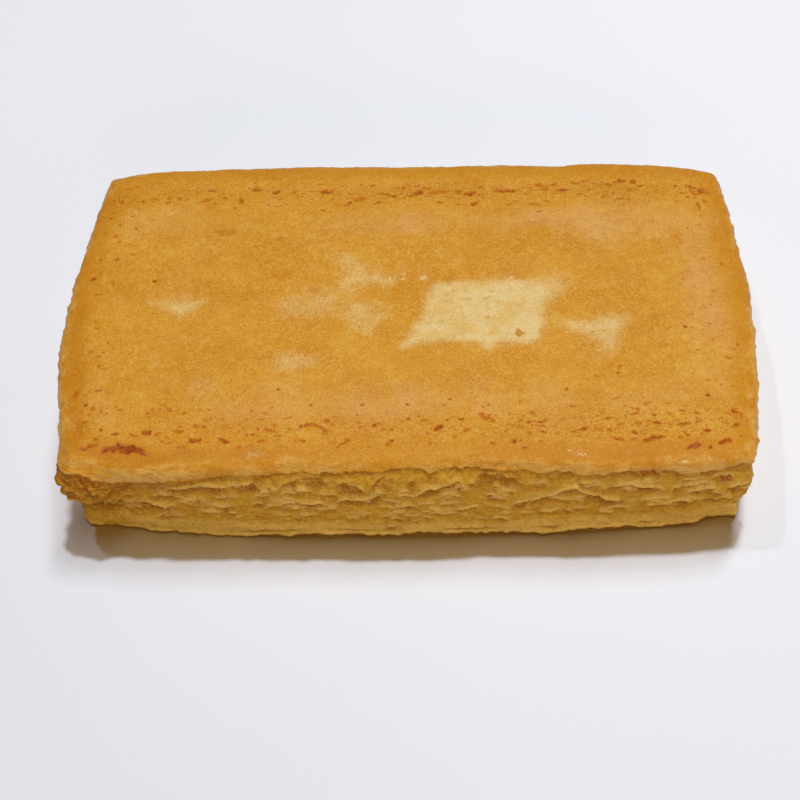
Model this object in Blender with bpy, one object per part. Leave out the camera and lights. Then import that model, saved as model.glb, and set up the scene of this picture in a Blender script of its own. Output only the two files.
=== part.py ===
"""A baked cheesecake bar: one solid, cushion-shaped in plan, with a smooth crowned top crust, a flat base, and
flaky layers that stand out as lips and draw back as hollows all round its side.

Metres, +Z up. +X runs along the bar, -Y is the long side shown to the viewer. The base lies on z = 0, and the
origin is the middle of the bar's box at the base.
"""

import math

import bmesh
import bpy

# Driving sizes, in metres
CORNER_LENGTH = 0.1030  # along X, between the corners
CORNER_WIDTH = 0.0600  # along Y, between the corners
RIM_HEIGHT = 0.0166  # where the top crust breaks off, above the base
CROWN_HEIGHT = 0.0182  # the middle of the top
# Each side bows out between its corners. A side is given as: how far it bows out, its distance from the middle at
# its low end and at its high end (along +X or +Y), the curve's exponent, where 2 is an arc and more is straighter
# with turned-in ends, and how far the bow's middle is shifted towards the low end.
LEFT_SIDE = (0.0039, 0.0510, 0.0518, 1.8, 0.10)
RIGHT_SIDE = (0.0029, 0.0512, 0.0517, 1.8, 0.04)
BACK_SIDE = (0.0026, 0.0294, 0.0284, 7.0, -0.02)
FRONT_SIDE = (0.0028, 0.0296, 0.0301, 2.4, 0.15)
CORNER_RADIUS = 0.0016

# Layers
LAYERS = 5
FIRST_GAP = 0.0021  # height of the slit over the bottom crust
LAST_GAP = 0.0149  # height of the hollow under the top crust
LIP_OUT = 0.00045  # how far a layer's lip stands out
GAP_IN = 0.0016  # how far the deepest hollow goes in
WAVE = 0.0007  # how far the layers rise and fall
LEAST_STEP = 0.00022  # between one ring of the side and the next

# The torn front left corner: its upper layers stand out over the lower ones
TORN_REACH = 0.0085
TORN_OUT = 0.0013
TORN_IN = 0.0008
TORN_FROM = 0.0086  # height of the step
TORN_TO = 0.0140

AROUND = 156  # points round the bar
TAU = 2 * math.pi


def waves(u, seed, low, high, count=5):
    """A smooth wave round the bar, about -1 to 1. u runs from 0 to 1, and whole numbers of waves close the ring."""
    total = weight = 0.0
    for i in range(count):
        k = low + round((high - low) * i / max(1, count - 1)) + (seed * 7 + i * 3) % 3
        phase = TAU * math.modf(math.sin(seed * 12.9898 + i * 78.233) * 43758.5453)[0]
        size = 1.0 / (1 + 0.35 * i)
        total += size * math.sin(TAU * k * u + phase)
        weight += size * size
    return total / math.sqrt(weight)


def smooth(a, b, x):
    t = min(1.0, max(0.0, (x - a) / (b - a)))
    return t * t * (3 - 2 * t)


def side_at(side, t):
    """Distance of a bowed side from the middle, for t from -1 at its low end to 1 at its high end."""
    bow, low, high, power, shift = side
    t = min(1.0, max(-1.0, t))
    bent = abs(t + shift * (1 - t * t))
    return low * (1 - t) / 2 + high * (1 + t) / 2 + bow * max(0.0, 1 - bent**power)


def outside(x, y):
    """Signed distance in plan from the bar's outline, negative inside."""
    reach_x = side_at(RIGHT_SIDE if x > 0 else LEFT_SIDE, 2 * y / CORNER_WIDTH)
    reach_y = side_at(BACK_SIDE if y > 0 else FRONT_SIDE, 2 * x / CORNER_LENGTH)
    qx = abs(x) - reach_x + CORNER_RADIUS
    qy = abs(y) - reach_y + CORNER_RADIUS
    corner = math.hypot(max(qx, 0.0), max(qy, 0.0))
    return corner + min(max(qx, qy), 0.0) - CORNER_RADIUS


def directions():
    """Unit vectors to evenly spaced points on a rectangle of the bar's size, counter-clockwise from the back right."""
    a, b = CORNER_LENGTH / 2, CORNER_WIDTH / 2
    perimeter = 4 * (a + b)
    made = []
    for i in range(AROUND):
        s = perimeter * (i + 0.5) / AROUND
        if s < 2 * a:
            x, y = a - s, b
        elif s < 2 * a + 2 * b:
            x, y = -a, b - (s - 2 * a)
        elif s < 4 * a + 2 * b:
            x, y = -a + (s - 2 * a - 2 * b), -b
        else:
            x, y = a, -b + (s - 4 * a - 2 * b)
        r = math.hypot(x, y)
        made.append((x / r, y / r))
    return made


def at_offset(direction, offset):
    """The point in that direction whose distance from the outline is offset, found by halving."""
    dx, dy = direction
    near, far = 0.0, CORNER_LENGTH
    for _ in range(44):
        mid = (near + far) / 2
        if outside(dx * mid, dy * mid) < offset:
            near = mid
        else:
            far = mid
    return dx * near, dy * near


def torn(x, y):
    """1 at the torn corner, falling to 0 at its reach."""
    away = math.hypot(x + CORNER_LENGTH / 2, y + CORNER_WIDTH / 2)
    return 1 - smooth(TORN_REACH * 0.35, TORN_REACH, away)


def levels():
    """The rings of the side, from the base up: (height, offset, what kind of ring, which layer)."""
    rings = [
        (0.0, -0.0040, "flat", 0),
        (0.0003, -0.0019, "foot", 0),
        (0.0009, -0.0006, "foot", 0),
    ]
    step = (LAST_GAP - FIRST_GAP) / (LAYERS - 1)
    for layer in range(LAYERS):
        gap = FIRST_GAP + step * layer
        narrow = 0.45 if layer == 0 else 1.0
        rings += [
            (gap - 0.00055 * narrow, 0.0, "lip", layer),
            (gap - 0.00010, 0.0, "gap", layer),
            (gap + 0.00035 * narrow, 0.0, "lip_above", layer),
        ]
        if layer < LAYERS - 1:
            rings.append((gap + step * 0.52, 0.0, "face", layer))
    return rings


def side_point(direction, u, height, offset, kind, layer):
    base = at_offset(direction, 0.0)
    corner = torn(*base)
    if kind == "flat":
        return (*at_offset(direction, offset), 0.0)
    if kind == "foot":
        rough = 0.00018 * waves(u, 3 + layer, 11, 41)
        return (*at_offset(direction, offset + rough), height)
    # Hollows come and go along each gap, so that neighbouring layers part and join again.
    open_here = smooth(-0.25, 0.9, waves(u, 20 + layer, 13, 37))
    slim = 0.35 if layer == 0 else 1.0
    rise = WAVE * slim * waves(u, 40 + layer // 2, 5, 19)
    out = LIP_OUT * 0.55 * waves(u, 60 + layer, 9, 43)
    if kind == "gap":
        out -= GAP_IN * slim * open_here
        height -= 0.0001 * open_here
    elif kind == "lip_above":
        out += LIP_OUT * (0.35 + 0.65 * open_here)
        height += 0.00035 * open_here * slim
    elif kind == "lip":
        out -= 0.0003 * slim * open_here
    else:
        out += LIP_OUT * 0.3
    if TORN_FROM < height < TORN_TO:
        out += TORN_OUT * corner
    elif height <= TORN_FROM:
        out -= TORN_IN * corner
    return (*at_offset(direction, offset + out), height + rise)


def crust_point(direction, u, inward, share):
    """The top crust: it rounds over from the broken rim and levels out at the crown."""
    x, y = at_offset(direction, -inward)
    rim_dip = 0.0005 * waves(u, 81, 4, 23)
    height = RIM_HEIGHT + (CROWN_HEIGHT - RIM_HEIGHT) * share + rim_dip * (1 - share)
    return x, y, height


def build_bar():
    mesh = bmesh.new()
    around = directions()
    # Each column of the side climbs from the base without folding back on itself.
    columns = []
    for i, direction in enumerate(around):
        u = (i + 0.5) / AROUND
        column = []
        for height, offset, kind, layer in levels():
            x, y, z = side_point(direction, u, height, offset, kind, layer)
            if column:
                z = max(z, column[-1][2] + LEAST_STEP)
            column.append((x, y, z))
        columns.append(column)
    rings = []
    for k in range(len(columns[0])):
        rings.append([mesh.verts.new(column[k]) for column in columns])
    # Inward distance from the outline, and how far up from the rim to the crown that ring is
    for inward, share in (
        (-0.0002, 0.0),
        (0.0009, 0.34),
        (0.0024, 0.62),
        (0.0046, 0.83),
        (0.0078, 0.96),
        (0.0130, 1.0),
    ):
        ring = []
        for i, direction in enumerate(around):
            u = (i + 0.5) / AROUND
            ring.append(mesh.verts.new(crust_point(direction, u, inward, share)))
        rings.append(ring)
    for low, high in zip(rings, rings[1:]):
        for i in range(AROUND):
            j = (i + 1) % AROUND
            mesh.faces.new((low[i], low[j], high[j], high[i]))
    # The base and the crown are flat, each a fan about its middle.
    for ring, height in ((rings[0], 0.0), (rings[-1], CROWN_HEIGHT)):
        hub = mesh.verts.new((0.0, 0.0, height))
        for i in range(AROUND):
            mesh.faces.new((hub, ring[i], ring[(i + 1) % AROUND]))
    bmesh.ops.recalc_face_normals(mesh, faces=mesh.faces)
    # The middle of the bar's box at the base becomes the origin.
    xs = [v.co.x for v in mesh.verts]
    ys = [v.co.y for v in mesh.verts]
    middle = (-(min(xs) + max(xs)) / 2, -(min(ys) + max(ys)) / 2, 0.0)
    bmesh.ops.translate(mesh, vec=middle, verts=mesh.verts)
    data = bpy.data.meshes.new("cheesecake_bar")
    mesh.to_mesh(data)
    mesh.free()
    data.shade_smooth()
    data.set_sharp_from_angle(angle=math.radians(50))
    return data


def crust_material():
    material = bpy.data.materials.new("baked_crust")
    material.use_nodes = True
    shader = material.node_tree.nodes["Principled BSDF"]
    shader.inputs["Base Color"].default_value = (0.66, 0.31, 0.055, 1.0)
    shader.inputs["Roughness"].default_value = 0.62
    shader.inputs["Metallic"].default_value = 0.0
    return material


def main():
    for old in list(bpy.data.objects):
        bpy.data.objects.remove(old, do_unlink=True)
    bar = bpy.data.objects.new("cheesecake_bar", build_bar())
    bar.data.materials.append(crust_material())
    bpy.context.scene.collection.objects.link(bar)


main()
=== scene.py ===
"""Looks of the baked cheesecake bar: one finely modelled body, with its crust, its flaky layers, its pits and its
torn edges, a plain pale floor, soft light and the camera.

The body is worked out in millimetres, in a frame whose x = 0 and y = 0 lie midway between the bar's corners, with
z = 0 at the base. +x runs along the bar and -y faces the viewer. MIDDLE takes that frame to the model's.
"""

import math

import bpy
import numpy as np
from mathutils import Matrix, Vector


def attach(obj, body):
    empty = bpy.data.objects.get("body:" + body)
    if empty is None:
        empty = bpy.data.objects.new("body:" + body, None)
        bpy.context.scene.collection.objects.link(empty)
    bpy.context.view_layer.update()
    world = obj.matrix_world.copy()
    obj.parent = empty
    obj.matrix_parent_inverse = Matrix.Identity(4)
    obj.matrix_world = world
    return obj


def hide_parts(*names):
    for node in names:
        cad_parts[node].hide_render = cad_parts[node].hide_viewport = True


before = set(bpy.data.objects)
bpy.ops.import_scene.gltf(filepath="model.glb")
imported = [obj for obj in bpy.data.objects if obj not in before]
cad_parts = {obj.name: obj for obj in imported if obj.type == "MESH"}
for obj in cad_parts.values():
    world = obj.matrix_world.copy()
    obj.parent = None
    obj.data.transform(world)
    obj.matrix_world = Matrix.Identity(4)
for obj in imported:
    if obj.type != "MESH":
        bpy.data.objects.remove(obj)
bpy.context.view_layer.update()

MIDDLE = (0.382, 0.347)  # mm

# The outline in plan. A side is (how far it bows out, distance at its low end, at its high end, exponent, shift).
CORNER_LENGTH = 103.0
CORNER_WIDTH = 60.0
LEFT_SIDE = (3.9, 51.0, 51.8, 1.8, 0.10)
RIGHT_SIDE = (2.9, 51.2, 51.7, 1.8, 0.04)
BACK_SIDE = (2.6, 29.4, 28.4, 7.0, -0.02)
FRONT_SIDE = (2.8, 29.6, 30.1, 2.4, 0.15)
CORNER_RADIUS = 0.6

RIM = 16.6  # height of the top at its edge
CROWN = 18.1  # and in its middle
CROWN_REACH = 2.6  # how fast it climbs from one to the other

# The side is unrolled: "along" is 0 at the middle of the front and grows to the right, round a rounded rectangle
# that runs inside the bar.
RUN_X = 46.5
RUN_Y = 24.5
ARC_RADIUS = 6.0
ARC = ARC_RADIUS * math.pi / 2
HALF_ROUND = 2 * RUN_X + 2 * RUN_Y + 2 * ARC
ALONG_STEP = 0.1
UP_STEP = 0.08
UP_FROM = -1.0
UP_TO = 19.0
UNDERCUT = 0.45  # how much a hollow climbs as it goes in
SEEN_HIGHER = 1.86  # how much higher a point of the side looks for each millimetre it is set back

# The fine grid that the body is meshed on
CELL = (0.27, 0.27, 0.19)
LOW = (-57.5, -35.0, -0.57)
HIGH = (57.5, 34.0, 19.2)
FACES = 196_000


# ---------------------------------------------------------------- noise and small helpers


def smooth(a, b, x):
    t = np.clip((x - a) / (b - a), 0.0, 1.0)
    return t * t * (3 - 2 * t)


def noise(x, y, z, seed):
    """Smooth noise in three dimensions, about -1 to 1, with features about 1 apart."""
    table = np.random.default_rng(seed).uniform(-1, 1, (64, 64, 64)).astype(np.float32)
    x, y, z = np.broadcast_arrays(x, y, z)
    corners, parts = [], []
    for v in (x, y, z):
        low = np.floor(v)
        t = (v - low).astype(np.float32)
        parts.append(t * t * (3 - 2 * t))
        low = low.astype(np.int32)
        corners.append((low & 63, (low + 1) & 63))
    (x0, x1), (y0, y1), (z0, z1) = corners
    tx, ty, tz = parts
    planes = []
    for zi in (z0, z1):
        a = table[x0, y0, zi]
        a = a + (table[x1, y0, zi] - a) * tx
        b = table[x0, y1, zi]
        b = b + (table[x1, y1, zi] - b) * tx
        planes.append(a + (b - a) * ty)
    return 1.3 * (planes[0] + (planes[1] - planes[0]) * tz)


def joined(a, b, width):
    """The larger of two fields, rounded over a width where they meet."""
    near = np.maximum(width - np.abs(a - b), 0.0) / width
    return np.maximum(a, b) + near * near * width * 0.25


# ---------------------------------------------------------------- plan


def side_at(side, t):
    bow, low, high, power, shift = side
    t = np.clip(t, -1.0, 1.0)
    bent = np.abs(t + shift * (1 - t * t))
    return low * (1 - t) / 2 + high * (1 + t) / 2 + bow * np.maximum(0.0, 1 - bent**power)


def outside(x, y):
    """Distance in plan from the bar's outline, negative inside."""
    reach_x = np.where(
        x > 0, side_at(RIGHT_SIDE, 2 * y / CORNER_WIDTH), side_at(LEFT_SIDE, 2 * y / CORNER_WIDTH)
    )
    reach_y = np.where(
        y > 0, side_at(BACK_SIDE, 2 * x / CORNER_LENGTH), side_at(FRONT_SIDE, 2 * x / CORNER_LENGTH)
    )
    qx = np.abs(x) - reach_x + CORNER_RADIUS
    qy = np.abs(y) - reach_y + CORNER_RADIUS
    corner = np.hypot(np.maximum(qx, 0.0), np.maximum(qy, 0.0))
    return corner + np.minimum(np.maximum(qx, qy), 0.0) - CORNER_RADIUS


def along_at(x, y):
    """How far round the bar a point lies, 0 at the middle of the front, positive to the right."""
    ax = np.abs(x)
    turn = np.arctan2(np.maximum(ax - RUN_X, 0.0), np.maximum(-(y + RUN_Y), 0.0) + 1e-9)
    front = np.minimum(ax, RUN_X) + ARC_RADIUS * turn
    side = RUN_X + ARC + (y + RUN_Y)
    back_turn = np.arctan2(np.maximum(y - RUN_Y, 0.0), np.maximum(ax - RUN_X, 0.0) + 1e-9)
    back = RUN_X + ARC + 2 * RUN_Y + ARC_RADIUS * back_turn + (RUN_X - np.minimum(ax, RUN_X))
    where_side = (np.abs(y) <= RUN_Y) & (ax > RUN_X)
    value = np.where(where_side, side, np.where(y > 0, back, front))
    return np.where(x < 0, -value, value)


def spot_at(along):
    """A point of the rounded rectangle's outer side, for a distance round the bar."""
    sign = np.where(along < 0, -1.0, 1.0)
    a = np.abs(along)
    turn = np.clip((a - RUN_X) / ARC_RADIUS, 0, math.pi / 2)
    x = np.minimum(a, RUN_X) + ARC_RADIUS * np.sin(turn)
    y = -(RUN_Y + ARC_RADIUS * np.cos(turn))
    climb = np.clip(a - RUN_X - ARC, 0, 2 * RUN_Y)
    y = y + climb
    back = np.clip((a - RUN_X - ARC - 2 * RUN_Y) / ARC_RADIUS, 0, math.pi / 2)
    x = x - ARC_RADIUS * (1 - np.cos(back))
    y = y + ARC_RADIUS * np.sin(back)
    x = x - np.clip(a - RUN_X - 2 * ARC - 2 * RUN_Y, 0, RUN_X)
    return sign * x, y


# ---------------------------------------------------------------- the side, unrolled

# Lips of the front. Each is the line of its lower edge, as (along, height it is seen at) points, then how deep the
# hollow under it is, how far down the hollow reaches, and how red it is.
FRONT_LIPS = (
    (((-49.6, 14.3), (-48.4, 13.7), (-47.4, 12.9), (-46.6, 12.2)), 0.55, 1.2, 0.45),
    (((-47.0, 11.4), (-45.4, 11.9), (-43.6, 12.3), (-42.2, 12.0), (-40.6, 11.7)), 0.75, 1.3, 0.75),
    (((-48.6, 10.8), (-47.4, 10.9), (-46.2, 10.1), (-45.0, 9.2)), 0.45, 1.2, 0.2),
    (((-41.0, 12.7), (-39.8, 12.3), (-38.8, 12.5), (-37.6, 13.4), (-36.8, 13.9)), 0.55, 1.3, 0.15),
    (((-39.4, 9.6), (-38.4, 10.3), (-37.2, 11.1), (-36.2, 10.6), (-35.2, 10.0), (-34.4, 9.3)), 1.00, 1.9, 0.3),
    (((-36.6, 11.9), (-35.4, 12.5), (-34.2, 13.1), (-31.4, 13.5), (-29.2, 13.4), (-27.6, 13.3), (-26.2, 12.5)),
     0.95, 1.9, 0.45),
    (((-26.2, 12.4), (-25.0, 13.3), (-24.0, 14.1), (-23.1, 14.3), (-22.4, 13.6), (-21.9, 12.8)), 0.90, 1.4, 0.95),
    (((-46.4, 7.0), (-44.4, 7.3), (-43.0, 7.6), (-41.4, 7.9), (-40.0, 7.8), (-38.4, 7.1), (-36.8, 6.4), (-35.3, 6.1)),
     1.05, 2.0, 0.15),
    (((-35.2, 7.6), (-34.2, 8.7), (-33.0, 8.9), (-31.6, 8.7)), 0.70, 1.6, 0.2),
    (((-31.8, 7.8), (-30.0, 7.5), (-28.4, 7.5), (-27.0, 7.9), (-25.8, 8.0)), 0.65, 1.3, 0.0),
    (((-34.6, 10.0), (-33.2, 9.5), (-31.8, 9.5), (-30.6, 9.9)), 0.45, 1.0, 0.0),
    (((-50.6, 4.6), (-49.0, 5.2), (-47.4, 5.1), (-46.0, 4.6)), 0.60, 1.4, 0.3),
    (((-45.4, 5.2), (-44.0, 5.4), (-42.4, 5.2)), 0.35, 1.0, 0.0),
    (((-27.4, 10.2), (-26.0, 10.5), (-24.8, 10.3)), 0.40, 1.1, 0.0),
    (((-23.9, 8.5), (-23.0, 9.2), (-22.1, 8.9), (-21.6, 8.2)), 0.65, 1.3, 0.1),
    (((-22.6, 11.2), (-21.6, 12.4), (-20.6, 12.7), (-19.4, 12.3)), 0.55, 1.7, 0.1),
    (((-21.0, 8.3), (-19.4, 8.9), (-17.8, 9.4), (-16.4, 9.9), (-14.8, 9.6), (-13.4, 9.6), (-12.5, 9.2), (-11.9, 8.4)),
     0.95, 1.8, 0.2),
    (((-19.5, 13.6), (-18.0, 14.3), (-16.6, 15.2), (-15.0, 15.7), (-13.2, 15.6), (-11.9, 15.1), (-10.8, 14.5)),
     0.70, 1.6, 0.35),
    (((-11.4, 13.9), (-10.0, 14.6), (-8.6, 14.4), (-7.2, 14.0), (-5.9, 13.5), (-5.0, 13.0)), 0.95, 1.7, 0.4),
    (((-5.6, 14.0), (-4.4, 15.2), (-3.0, 15.8), (-1.8, 15.4), (-1.0, 14.8)), 0.65, 1.5, 0.3),
    (((-11.8, 8.9), (-10.4, 9.8), (-8.6, 10.1), (-6.6, 10.1), (-5.0, 10.7), (-3.9, 11.2), (-2.9, 10.9)),
     0.90, 1.7, 0.1),
    (((-3.8, 9.3), (-2.7, 9.9), (-1.7, 9.4)), 0.50, 1.0, 0.1),
    (((-13.4, 7.5), (-11.6, 7.9), (-9.8, 7.4)), 0.45, 1.1, 0.0),
    (((-2.4, 6.6), (-1.4, 7.6), (-0.6, 8.5), (0.1, 8.9), (0.9, 8.3), (1.7, 7.2)), 0.90, 2.1, 0.1),
    (((0.2, 10.0), (1.0, 11.2), (1.8, 12.3), (3.4, 12.8), (5.0, 13.3), (6.3, 14.1), (7.5, 14.5), (8.5, 14.0),
      (9.3, 12.7), (10.1, 10.8)), 0.95, 1.9, 0.3),
    (((9.2, 13.9), (10.2, 15.2), (11.8, 15.6), (14.2, 15.7), (15.6, 15.2), (16.6, 14.0), (17.4, 13.2)),
     0.75, 1.6, 0.3),
    (((2.0, 6.8), (3.0, 7.8), (4.2, 7.8), (5.2, 6.6)), 0.80, 1.6, 0.0),
    (((4.9, 8.8), (5.9, 9.4), (6.9, 8.9)), 0.50, 1.0, 0.2),
    (((6.3, 7.3), (7.5, 7.9), (8.7, 7.7), (9.9, 8.4), (11.0, 7.6)), 0.70, 1.4, 0.1),
    (((11.6, 10.5), (12.7, 11.3), (13.7, 10.5), (14.1, 9.4)), 0.60, 1.5, 0.1),
    (((13.2, 11.5), (14.8, 12.4), (16.2, 11.9), (17.2, 11.6)), 0.45, 1.0, 0.15),
    (((15.4, 7.5), (16.5, 8.4), (17.7, 8.7), (18.9, 8.5)), 0.75, 1.4, 0.85),
    (((17.8, 8.9), (19.6, 9.4), (21.2, 10.3), (22.8, 11.2), (24.0, 12.2), (24.9, 12.5), (25.9, 11.6), (27.0, 10.2),
      (28.6, 9.2), (29.9, 8.3), (31.2, 8.5), (32.4, 8.2), (33.7, 7.2)), 1.25, 2.3, 0.1),
    (((25.0, 14.6), (26.0, 13.8), (27.4, 13.5), (28.6, 13.5), (29.5, 12.4)), 0.70, 1.4, 0.45),
    (((29.1, 11.2), (30.4, 11.9), (31.4, 12.5), (33.4, 12.4), (34.6, 11.4), (36.0, 11.0), (37.6, 10.6), (39.3, 9.7)),
     0.95, 1.6, 0.2),
    (((34.6, 12.3), (35.8, 13.0), (37.2, 12.2)), 0.60, 1.0, 0.45),
    (((32.2, 15.1), (33.8, 15.6), (36.0, 15.9), (37.2, 15.1), (38.6, 14.3)), 0.70, 1.5, 0.85),
    (((38.4, 13.7), (40.6, 14.0), (42.6, 13.7), (44.4, 14.0), (46.6, 14.3), (48.4, 14.8)), 0.60, 1.0, 0.25),
    (((39.6, 12.1), (41.4, 12.3), (43.4, 12.5), (45.0, 12.6)), 0.45, 1.1, 0.1),
    (((44.8, 12.0), (46.2, 12.9), (47.6, 13.0), (49.2, 12.3)), 0.80, 1.2, 0.75),
    (((40.2, 10.6), (42.2, 10.9), (44.2, 11.3), (46.2, 11.4)), 0.45, 1.0, 0.0),
    (((41.4, 9.1), (43.2, 9.7), (45.0, 10.0), (46.1, 10.2), (47.0, 9.0)), 0.80, 1.5, 0.1),
    (((46.9, 10.2), (48.4, 10.4), (49.6, 10.8), (51.4, 11.3)), 0.85, 1.6, 0.55),
    (((35.9, 7.5), (36.9, 8.2), (37.9, 8.0), (39.1, 8.2), (40.1, 7.6)), 0.60, 1.2, 0.0),
    (((38.9, 5.6), (40.0, 6.6), (41.0, 7.1), (42.2, 6.7), (43.9, 6.3)), 0.80, 1.5, 0.3),
    (((44.2, 5.6), (45.4, 6.6), (46.8, 6.2), (48.2, 6.7), (49.6, 7.5), (50.8, 7.9)), 0.80, 1.6, 0.15),
    (((30.2, 6.0), (31.8, 5.8), (33.4, 6.1), (34.8, 6.3)), 0.35, 1.0, 0.0),
    (((20.6, 5.7), (22.4, 5.5), (24.0, 5.8)), 0.35, 1.0, 0.0),
    (((-9.4, 5.5), (-7.4, 5.8), (-5.4, 5.4)), 0.35, 1.0, 0.0),
    (((0.6, 4.1), (1.1, 4.3), (1.7, 4.0)), 0.40, 0.9, 0.0),
    (((-29.5, 15.6), (-27.6, 15.9), (-25.4, 15.6)), 0.35, 0.9, 0.1),
    (((-24.4, 16.2), (-22.0, 16.5), (-19.6, 16.1)), 0.35, 0.8, 0.2),
    (((2.0, 16.0), (4.0, 16.4), (6.2, 15.9)), 0.40, 0.9, 0.2),
    (((18.4, 15.4), (20.6, 15.9), (22.8, 15.4)), 0.50, 1.0, 0.3),
    (((18.2, 13.2), (20.2, 13.5), (22.2, 13.9)), 0.40, 1.0, 0.1),
    (((21.6, 16.4), (23.6, 16.8), (25.6, 16.2)), 0.40, 0.9, 0.3),
    (((-1.2, 12.4), (0.0, 12.9), (1.0, 12.5)), 0.35, 1.0, 0.0),
    # slits over the bottom crust
    (((-4.4, 2.45), (-2.5, 2.75), (-0.8, 2.55)), 0.45, 0.55, 0.1),
    (((-12.4, 2.05), (-8.4, 2.2), (-4.8, 2.35)), 0.32, 0.40, 0.0),
    (((4.4, 2.15), (9.0, 2.3), (14.4, 2.0)), 0.34, 0.42, 0.0),
    (((-27.4, 1.2), (-23.6, 1.7), (-19.4, 2.0), (-15.4, 2.1)), 0.34, 0.45, 0.0),
    (((20.0, 1.9), (21.6, 2.0), (23.4, 1.8)), 0.36, 0.45, 0.0),
    (((35.4, 1.7), (36.6, 1.9), (37.9, 1.7)), 0.34, 0.45, 0.0),
)
# The lower edge of the top crust along the front: (along, height, how far it is set back)
FRONT_RIM = (
    (-52.5, 15.8, 0.30),
    (-50.0, 15.7, 0.30),
    (-48.6, 15.5, 0.30),
    (-47.0, 14.9, 0.10),
    (-45.3, 14.3, 0.00),
    (-44.0, 13.9, -0.10),
    (-40.0, 13.9, -0.10),
    (-38.4, 14.3, -0.05),
    (-36.6, 15.0, 0.05),
    (-33.0, 15.4, 0.30),
    (-31.0, 15.5, 0.55),
    (-29.0, 15.5, 0.80),
    (-26.0, 15.5, 1.02),
    (-23.0, 15.5, 1.24),
    (-20.0, 15.5, 1.45),
    (-15.0, 15.5, 1.83),
    (-3.5, 15.5, 1.83),
    (-1.0, 15.6, 2.15),
    (0.7, 15.7, 2.40),
    (2.4, 15.6, 2.10),
    (3.4, 15.3, 1.55),
    (4.6, 15.4, 1.85),
    (6.2, 15.6, 2.35),
    (8.4, 15.6, 2.25),
    (13.2, 15.6, 2.05),
    (17.0, 15.5, 1.70),
    (19.7, 15.5, 1.45),
    (22.8, 15.5, 1.15),
    (25.0, 15.5, 0.85),
    (27.0, 15.4, 0.45),
    (29.6, 15.4, 0.35),
    (30.1, 15.6, 0.60),
    (30.6, 15.6, 0.40),
    (33.0, 15.7, 0.55),
    (35.0, 15.7, 0.50),
    (37.0, 15.7, 0.30),
    (39.0, 15.4, 0.15),
    (41.5, 15.0, 0.05),
    (44.2, 14.9, 0.10),
    (46.0, 15.0, 0.10),
    (48.0, 15.4, 0.30),
    (50.0, 15.8, 0.50),
    (52.5, 15.9, 0.60),
)
# How far the base's edge stands clear of the floor along the front: (along, height)
FRONT_LIFT = (
    (-50.0, 0.05),
    (-40.0, 0.25),
    (-30.0, 0.1),
    (-24.0, 0.2),
    (-15.0, 1.1),
    (-6.0, 0.9),
    (-1.0, 1.0),
    (1.5, 1.7),
    (4.0, 1.4),
    (9.0, 0.9),
    (16.0, 0.9),
    (23.0, 0.5),
    (26.0, 1.1),
    (34.0, 1.0),
    (37.0, 0.4),
    (43.0, 0.7),
    (50.0, 0.4),
)


def lips():
    """Every lip of the side. The front's are as listed, and the rest are spread in rows in the same sizes."""
    made = list(FRONT_LIPS)
    rng = np.random.default_rng(43)
    start = 52.6
    length = 2 * HALF_ROUND - 2 * start
    for height in (15.2, 13.6, 11.9, 10.3, 8.6, 7.0, 5.4):
        at = rng.uniform(0.0, 4.0)
        while at < length - 1.0:
            long = min(rng.uniform(3.0, 10.5), length - at)
            tilt = rng.uniform(-0.16, 0.16)
            arch = rng.uniform(-0.5, 1.3)
            line = []
            for k in range(6):
                u = -1 + 2 * k / 5
                rise = tilt * u * long / 2 + arch * (0.5 - u * u) + rng.uniform(-0.22, 0.22)
                line.append((start + at + long * k / 5, height + rise))
            deep = rng.uniform(0.45, 1.15) * (0.8 if height < 6 else 1.0)
            reddish = max(0.0, rng.uniform(-0.8, 1.0)) * (1.0 if height > 9 else 0.4)
            made.append((tuple(line), deep, rng.uniform(1.1, 2.2), reddish))
            at += long + rng.uniform(-1.2, 2.4)
    at = rng.uniform(0.0, 5.0)
    while at < length - 4.0:
        long = rng.uniform(4.0, 11.0)
        height = rng.uniform(1.7, 2.6)
        line = ((start + at, height - 0.1), (start + at + long / 2, height + 0.15), (start + at + long, height - 0.1))
        made.append((line, 0.38, 0.45, 0.0))
        at += long + rng.uniform(1.0, 8.0)
    # small ones between them
    for _ in range(620):
        at = rng.uniform(-HALF_ROUND, HALF_ROUND)
        height = rng.uniform(3.6, 15.4)
        long = rng.uniform(1.2, 4.6)
        slant, arch = rng.uniform(-0.4, 0.4), rng.uniform(0.0, 0.45)
        line = tuple((at + long * (k / 2 - 0.5), height + slant * (k - 1) + arch * (1 - abs(k - 1))) for k in range(3))
        made.append((line, rng.uniform(0.12, 0.50), rng.uniform(0.5, 1.2), max(0.0, rng.uniform(-1.2, 0.5))))
    return made


def ledge_at(below, back):
    """How far the side is set back at a distance below the top crust's edge, which is itself set back."""
    return np.maximum(back, 0.0) * np.exp(-((np.maximum(below, 0.0) / 1.15) ** 1.4))


def settled(line, fall, count, rim, back):
    """A lip's line and fall, from the heights they are seen at to heights on the side, which steps back higher up."""
    made, stretch = [], 1.0
    for a, seen in line:
        k = int(round((a + HALF_ROUND) / (2 * HALF_ROUND) * count)) % count
        heights = np.linspace(seen - 6.0, rim[k], 120)
        looks = heights + SEEN_HIGHER * ledge_at(rim[k] - heights, back[k])
        at = np.interp((seen - 0.7, seen), looks, heights)
        made.append((a, float(at[1])))
        stretch = max(stretch, 0.7 / max(float(at[1] - at[0]), 0.15))
    return tuple(made), fall / min(stretch, 3.0)


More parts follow.
